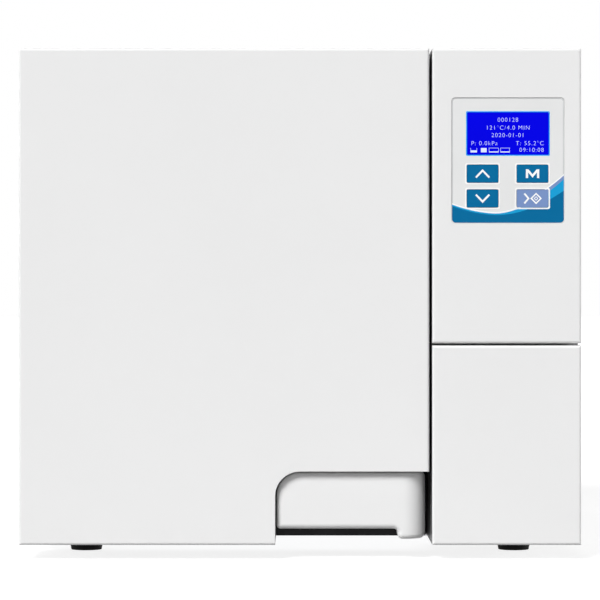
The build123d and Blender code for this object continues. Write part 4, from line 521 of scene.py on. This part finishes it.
def overlay_wave():
    """Flowing colour bands across the foot of the overlay."""
    shares = wave_shares()
    xs = [PRINT_LEFT + (PRINT_RIGHT - PRINT_LEFT) * share for share in shares]
    foot = [PRINT_BOTTOM + corner_lift(x) for x in xs]
    dark = [PRINT_BOTTOM + wave_height(share) for share in shares]
    bright = [top + bright_height(share) for top, share in zip(dark, shares)]
    pale = [top + PALE_HEIGHT * min(1, max(0, share - PALE_START) * PALE_SLOPE)
            for top, share in zip(bright, shares)]
    white = [top + WHITE_HEIGHT for top in pale]
    for name, low, high, paint in (("wave_dark", foot, dark, print_teal),
                                   ("wave_bright", dark, bright, print_blue),
                                   ("wave_pale", bright, pale, print_lavender),
                                   ("wave_edge", pale, white, print_white)):
        quads = [[(xs[i], low[i]), (xs[i + 1], low[i + 1]), (xs[i + 1], high[i + 1]), (xs[i], high[i])]
                 for i in range(len(xs) - 1) if high[i + 1] - low[i + 1] > LEAST_HEIGHT]
        prism(name, quads, OVERLAY_FACE, WAVE_INK, paint, "body")


def key_rim(node):
    """Bright printed rim on the overlay round a key."""
    low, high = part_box(node)
    inset = KEY_LIP - KEY_CLEARANCE
    quads = window_rim(low.x + inset, high.x - inset, low.z + inset, high.z - inset, RIM_WIDTH,
                       RIM_INNER_RADIUS, RIM_OUTER_RADIUS)
    prism(node + "_rim", quads, OVERLAY_FACE, RIM_INK, print_white, "body")


def key_print(node, outlines):
    """White symbol on a key, from outlines in millimetres from the key's middle."""
    low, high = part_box(node)
    x, z = (low.x + high.x) / 2, (low.z + high.z) / 2
    placed = [[(x + px * MM, z + pz * MM) for px, pz in outline] for outline in outlines]
    prism(node + "_symbol", placed, low.y, INK, print_white, node)


def start_symbol():
    """Arrow head and a diamond ring with a small ring in its middle."""
    quads = stroke(ARROW, ARROW_WIDTH)
    for outer, inner in DIAMOND_RINGS:
        quads += ring_quads(diamond(DIAMOND_X, outer), diamond(DIAMOND_X, inner))
    return quads


def text_piece(name, words, x, z, height, face, align):
    """Figures on the lit display, as a flat mesh."""
    curve = bpy.data.curves.new(name, "FONT")
    curve.body = words
    curve.size = height
    curve.align_x = align
    curve.fill_mode = "FRONT"
    curve.space_character = LETTER_SPACING
    curve.offset = -height * LETTER_THINNING
    maker = bpy.data.objects.new(name + "_maker", curve)
    bpy.context.scene.collection.objects.link(maker)
    bpy.context.view_layer.update()
    mesh = bpy.data.meshes.new_from_object(maker.evaluated_get(bpy.context.evaluated_depsgraph_get()))
    bpy.data.objects.remove(maker)
    for vertex in mesh.vertices:
        vertex.co = Vector((x + vertex.co.x, face, z + vertex.co.y))
    mesh.materials.clear()
    mesh.materials.append(display_text)
    piece = bpy.data.objects.new(name, mesh)
    bpy.context.scene.collection.objects.link(piece)
    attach(piece, "body")
    return piece


def icon_quads(x0, x1, foot, top, filled, closed):
    """Small box, outlined unless it is full."""
    quads = []
    if filled < 1:
        quads += stroke([(x0, top), (x0, foot), (x1, foot), (x1, top)], ICON_LINE)
    quads.append(rectangle(x0, x1, foot, foot + (top - foot) * filled))
    if closed:
        quads += stroke([(x0, top), (x1, top)], ICON_LINE)
    return quads


def display_print():
    """Bright rim, readings and icons of the display."""
    low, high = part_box("display_window")
    width, height = high.x - low.x, high.z - low.z
    rim = window_rim(low.x, high.x, low.z, high.z, DISPLAY_RIM, DISPLAY_RADIUS, DISPLAY_RIM_RADIUS)
    prism("display_rim", rim, OVERLAY_FACE, INK, display_edge, "body")
    for index, (words, share, row, align) in enumerate(DISPLAY_LINES):
        text_piece(f"display_line_{index + 1}", words, low.x + width * share, low.z + height * row,
                   height * LETTER_HEIGHT, low.y - LETTER_RAISE, align)
    quads = []
    for start, end, filled, closed in ICONS:
        quads += icon_quads(low.x + width * start, low.x + width * end, low.z + height * ICON_FOOT,
                            low.z + height * ICON_TOP, filled, closed)
    prism("display_icons", quads, low.y, INK, display_text, "body")


def rocker_marks():
    """Bar on the rocker's upper face and a ring on its lower face, for on and off."""
    low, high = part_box("switch_rocker")
    middle = (low.x + high.x) / 2
    ridge, top, foot = [Vector((middle, y * MM, z * MM))
                        for y, z in (ROCKER_RIDGE, ROCKER_TOP, ROCKER_FOOT)]
    bar = rectangle(-ON_HALF_WIDTH * MM, ON_HALF_WIDTH * MM, -ON_HALF_HEIGHT * MM, ON_HALF_HEIGHT * MM)
    ring = ring_quads(circle(OFF_OUTER * MM), circle(OFF_INNER * MM))
    plates("rocker_on_mark", [bar], (ridge + top) / 2, (1, 0, 0), top - ridge, INK, print_white, "rocker")
    plates("rocker_off_mark", ring, (ridge + foot) / 2, (1, 0, 0), ridge - foot, INK, print_white, "rocker")


def level_marks():
    """Water level lines on the tank's right inner wall, under the lid."""
    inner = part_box("water_tank")[1].x - TANK_WALL * MM
    lines = []
    for index, z in enumerate(LEVELS):
        half = (LEVEL_HALF_SHORT if index % LONG_LEVEL_EVERY else LEVEL_HALF_LONG) * MM
        lines.append(rectangle(-half, half, (z - LEVEL_HALF_LINE) * MM, (z + LEVEL_HALF_LINE) * MM))
    plates("tank_level_marks", lines, (inner, LEVEL_Y * MM, 0), (0, -1, 0), (0, 0, 1), INK, print_teal,
           "body")


overlay_border()
overlay_wave()
for key_node in ("key_up", "key_down", "key_menu", "key_start"):
    key_rim(key_node)
key_print("key_up", stroke(CHEVRON_UP, CHEVRON_WIDTH))
key_print("key_down", stroke(CHEVRON_DOWN, CHEVRON_WIDTH))
key_print("key_menu", [LETTER_M])
key_print("key_start", start_symbol())
display_print()
rocker_marks()
level_marks()


# Room and light


def rays_of(tree_nodes, links, *kinds):
    """1 for a ray of any of the given kinds, else 0."""
    path = tree_nodes.new("ShaderNodeLightPath")
    seen = path.outputs[kinds[0]]
    for kind in kinds[1:]:
        seen = math_node(tree_nodes, links, "MAXIMUM", seen, path.outputs[kind])
    return seen


def floor_material():
    """Pale floor that keeps the shadow and is lifted to white for what looks at it."""
    material, tree_nodes, links = new_material("pale_floor")
    tree_nodes.remove(tree_nodes["Principled BSDF"])
    output = tree_nodes["Material Output"]
    diffuse = tree_nodes.new("ShaderNodeBsdfDiffuse")
    diffuse.inputs["Color"].default_value = (FLOOR_GREY, FLOOR_GREY, FLOOR_GREY, 1)
    glow = tree_nodes.new("ShaderNodeEmission")
    glow.inputs["Color"].default_value = (1, 1, 1, 1)
    seen = rays_of(tree_nodes, links, "Is Camera Ray", "Is Glossy Ray")
    links.new(math_node(tree_nodes, links, "MULTIPLY", seen, FLOOR_LIFT), glow.inputs["Strength"])
    total = tree_nodes.new("ShaderNodeAddShader")
    links.new(diffuse.outputs[0], total.inputs[0])
    links.new(glow.outputs[0], total.inputs[1])
    links.new(total.outputs[0], output.inputs["Surface"])
    return material


def floor():
    """Wide plane that catches the shadow."""
    mesh = bpy.data.meshes.new("floor")
    half = FLOOR_SIZE / 2
    corners = [(x, y, 0) for x, y in rectangle(-half, half, -half, half)]
    mesh.from_pydata(corners, [], [(0, 1, 2, 3)])
    mesh.materials.append(floor_material())
    plane = bpy.data.objects.new("floor", mesh)
    bpy.context.scene.collection.objects.link(plane)


def white_world():
    """Plain ambient light, and white where it is looked at directly, in a reflection or through glass."""
    world = bpy.data.worlds.new("studio")
    bpy.context.scene.world = world
    world.use_nodes = True
    tree_nodes, links = world.node_tree.nodes, world.node_tree.links
    background = tree_nodes["Background"]
    background.inputs["Color"].default_value = (1, 1, 1, 1)
    seen = rays_of(tree_nodes, links, "Is Camera Ray", "Is Glossy Ray", "Is Transmission Ray")
    links.new(map_range(tree_nodes, links, seen, AMBIENT, 1.0, 0.0, 1.0), background.inputs["Strength"])


def soft_light(name, azimuth, elevation, spread, strength):
    """Broad far light. Azimuth 0 shines from the front, positive from the right; angles in degrees."""
    data = bpy.data.lights.new(name, "SUN")
    data.energy = strength * math.pi
    data.angle = math.radians(spread)
    lamp = bpy.data.objects.new(name, data)
    side, up = math.radians(azimuth), math.radians(elevation)
    towards = Vector((math.sin(side) * math.cos(up), -math.cos(side) * math.cos(up), math.sin(up)))
    lamp.rotation_mode = "QUATERNION"
    lamp.rotation_quaternion = towards.to_track_quat("Z", "Y")
    bpy.context.scene.collection.objects.link(lamp)


def photograph_camera():
    """Camera of the photograph's view."""
    data = bpy.data.cameras.new("camera")
    data.sensor_width = SENSOR
    data.lens = SENSOR * CAMERA_DISTANCE / VIEW_WIDTH
    camera = bpy.data.objects.new("camera", data)
    camera.location = (0, FRONT_FACE - CAMERA_DISTANCE, CAMERA_HEIGHT)
    camera.rotation_euler = (math.pi / 2, 0, 0)
    bpy.context.scene.collection.objects.link(camera)
    bpy.context.scene.camera = camera


floor()
white_world()
for light in LIGHTS:
    soft_light(*light)
photograph_camera()
bpy.context.scene.view_settings.view_transform = "Standard"
